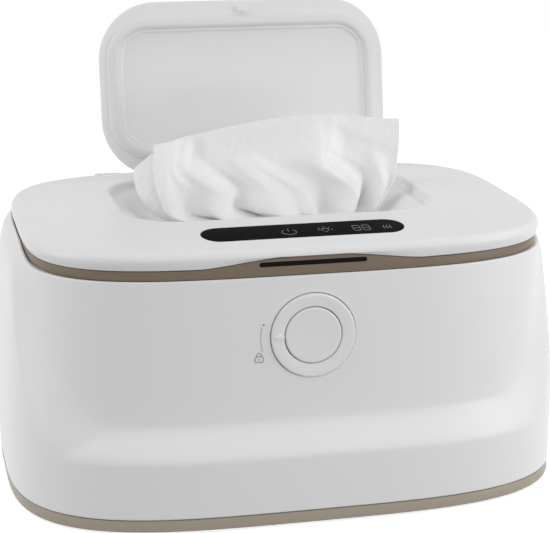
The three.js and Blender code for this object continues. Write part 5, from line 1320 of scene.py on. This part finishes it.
def build_stage(scene):
    stage = scene.warmer_stage
    a, e = stage.azimuth, stage.elevation
    forward = Vector((math.sin(a) * math.cos(e), math.cos(a) * math.cos(e), -math.sin(e)))
    target = Vector(stage.target)
    data = bpy.data.cameras.new("camera")
    data.lens = stage.lens
    data.sensor_width = 36
    data.sensor_fit = "AUTO"
    data.clip_end = 20
    camera = link(bpy.data.objects.new("camera", data))
    camera.location = target - forward * stage.distance
    camera.rotation_euler = forward.to_track_quat("-Z", "Y").to_euler()
    scene.camera = camera

    world = bpy.data.worlds.new("studio")
    scene.world = world
    world.use_nodes = True
    seen_as(world.node_tree, world.node_tree.nodes["Background"], "ShaderNodeBackground", stage.ambient, "World Output")

    floor = bpy.data.materials.new("studio_floor")
    floor.use_nodes = True
    tree = floor.node_tree
    tree.nodes.remove(tree.nodes["Principled BSDF"])
    dim = tree.nodes.new("ShaderNodeEmission")
    shown = seen_as(tree, dim, "ShaderNodeEmission", stage.ambient, "Material Output")
    shown.inputs["Strength"].default_value = FLOOR_GLOW
    catch = new_node(tree, "ShaderNodeBsdfDiffuse", {"Color": (0.8, 0.8, 0.8, 1)})
    mix = shown.outputs["Emission"].links[0].to_node
    both = new_node(tree, "ShaderNodeAddShader", {0: shown.outputs["Emission"], 1: catch.outputs["BSDF"]})
    tree.links.new(both.outputs["Shader"], mix.inputs[2])
    corners = [(-1, -1), (1, -1), (1, 1), (-1, 1)]
    ground = mesh_object("floor", [(x * FLOOR_HALF, y * FLOOR_HALF, 0) for x, y in corners], [(0, 1, 2, 3)])
    paint(ground, floor)

    def area(name, place, aim, size, power):
        lamp = bpy.data.lights.new(name, "AREA")
        lamp.shape = "RECTANGLE"
        lamp.size, lamp.size_y = size
        lamp.energy = power
        obj = link(bpy.data.objects.new(name, lamp))
        obj.location = place
        obj.rotation_euler = (Vector(aim) - Vector(place)).to_track_quat("-Z", "Y").to_euler()
        obj.visible_camera = False

    area("left", (-1.3, -0.1, 0.4), (-0.05, 0, 0.08), (1.0, 1.2), 4.95)
    area("left_high", (-1.3, -0.2, 1.3), (0, 0, 0.1), (0.8, 0.8), 4.26)
    area("front", (0.2, -1.6, 0.9), (0, 0, 0.08), (1.6, 1.0), 4.05)
    area("right_high", (1.3, -0.2, 1.3), (0, 0, 0.1), (0.8, 0.8), 3.83)
    area("right_near", (0.55, -0.4, 0.3), (0.08, -0.05, 0.08), (0.3, 0.3), 0.8)
    area("right_low", (0.5, -0.45, 0.07), (0.08, -0.05, 0.03), (0.4, 0.12), 0.51)
    area("top", (0.1, 0.1, 1.2), (0, 0, 0.1), (1.4, 1.4), 1.36)
    scene.view_settings.view_transform = "Standard"


# Operators and panel


def operator(idname, label, note, build):
    def execute(self, context):
        build(context.scene)
        return {"FINISHED"}

    parts = {"__doc__": note, "bl_idname": "warmer." + idname, "bl_label": label, "execute": execute}
    return type("WARMER_OT_" + idname, (Operator,), parts)


STEPS = [
    operator("stage", "Stage", "Adds the camera, the lights, the pale floor and the surround", build_stage),
    operator("housing", "Housing", "Builds the white housing", build_housing),
    operator("tray", "Tray", "Builds the taupe base tray", build_tray),
    operator("trim", "Trim", "Builds the taupe band and its dark slot", build_trim),
    operator("lid", "Lid", "Builds the lid with its bowl", build_lid),
    operator("strip", "Touch strip", "Builds the glossy touch strip", build_strip),
    operator("cover", "Flip cover", "Builds the open flip cover and its bead", build_cover),
    operator("lock", "Lock", "Builds the lock ring and the push button", build_lock),
    operator("marks", "Marks", "Prints the marks beside the lock ring", build_marks),
    operator("icons", "Icons", "Prints the symbols on the touch strip", build_icons),
    operator("springs", "Springs", "Winds the springs of the lid's hinge", build_springs),
    operator("feet", "Feet", "Sets the four rubber feet under the tray", build_feet),
    operator("wipe", "Wipe", "Builds the wipe that stands in the gate", build_wipe),
    operator("inner", "Inner parts", "Gives the remaining parts their materials", finish_inner),
]


class WARMER_PT_steps(Panel):
    bl_label = "Wipe warmer"
    bl_idname = "WARMER_PT_steps"
    bl_space_type = "VIEW_3D"
    bl_region_type = "UI"
    bl_category = "Warmer"

    def draw(self, context):
        for step in STEPS:
            self.layout.operator(step.bl_idname, text=step.bl_label)
        for name, group in GROUPS.items():
            box = self.layout.box()
            box.label(text=name.replace("_", " ").capitalize())
            for key in group.__annotations__:
                box.prop(getattr(context.scene, name), key)


CLASSES = [*GROUPS.values(), *STEPS, WARMER_PT_steps]


def register():
    for cls in CLASSES:
        bpy.utils.register_class(cls)
    for name, group in GROUPS.items():
        setattr(bpy.types.Scene, name, PointerProperty(type=group))


def unregister():
    for name in GROUPS:
        delattr(bpy.types.Scene, name)
    for cls in reversed(CLASSES):
        bpy.utils.unregister_class(cls)


def main():
    register()
    make_materials(bpy.context.scene)
    for step in STEPS:
        getattr(bpy.ops.warmer, step.bl_idname.split(".")[1])()


if __name__ == "__main__":
    main()
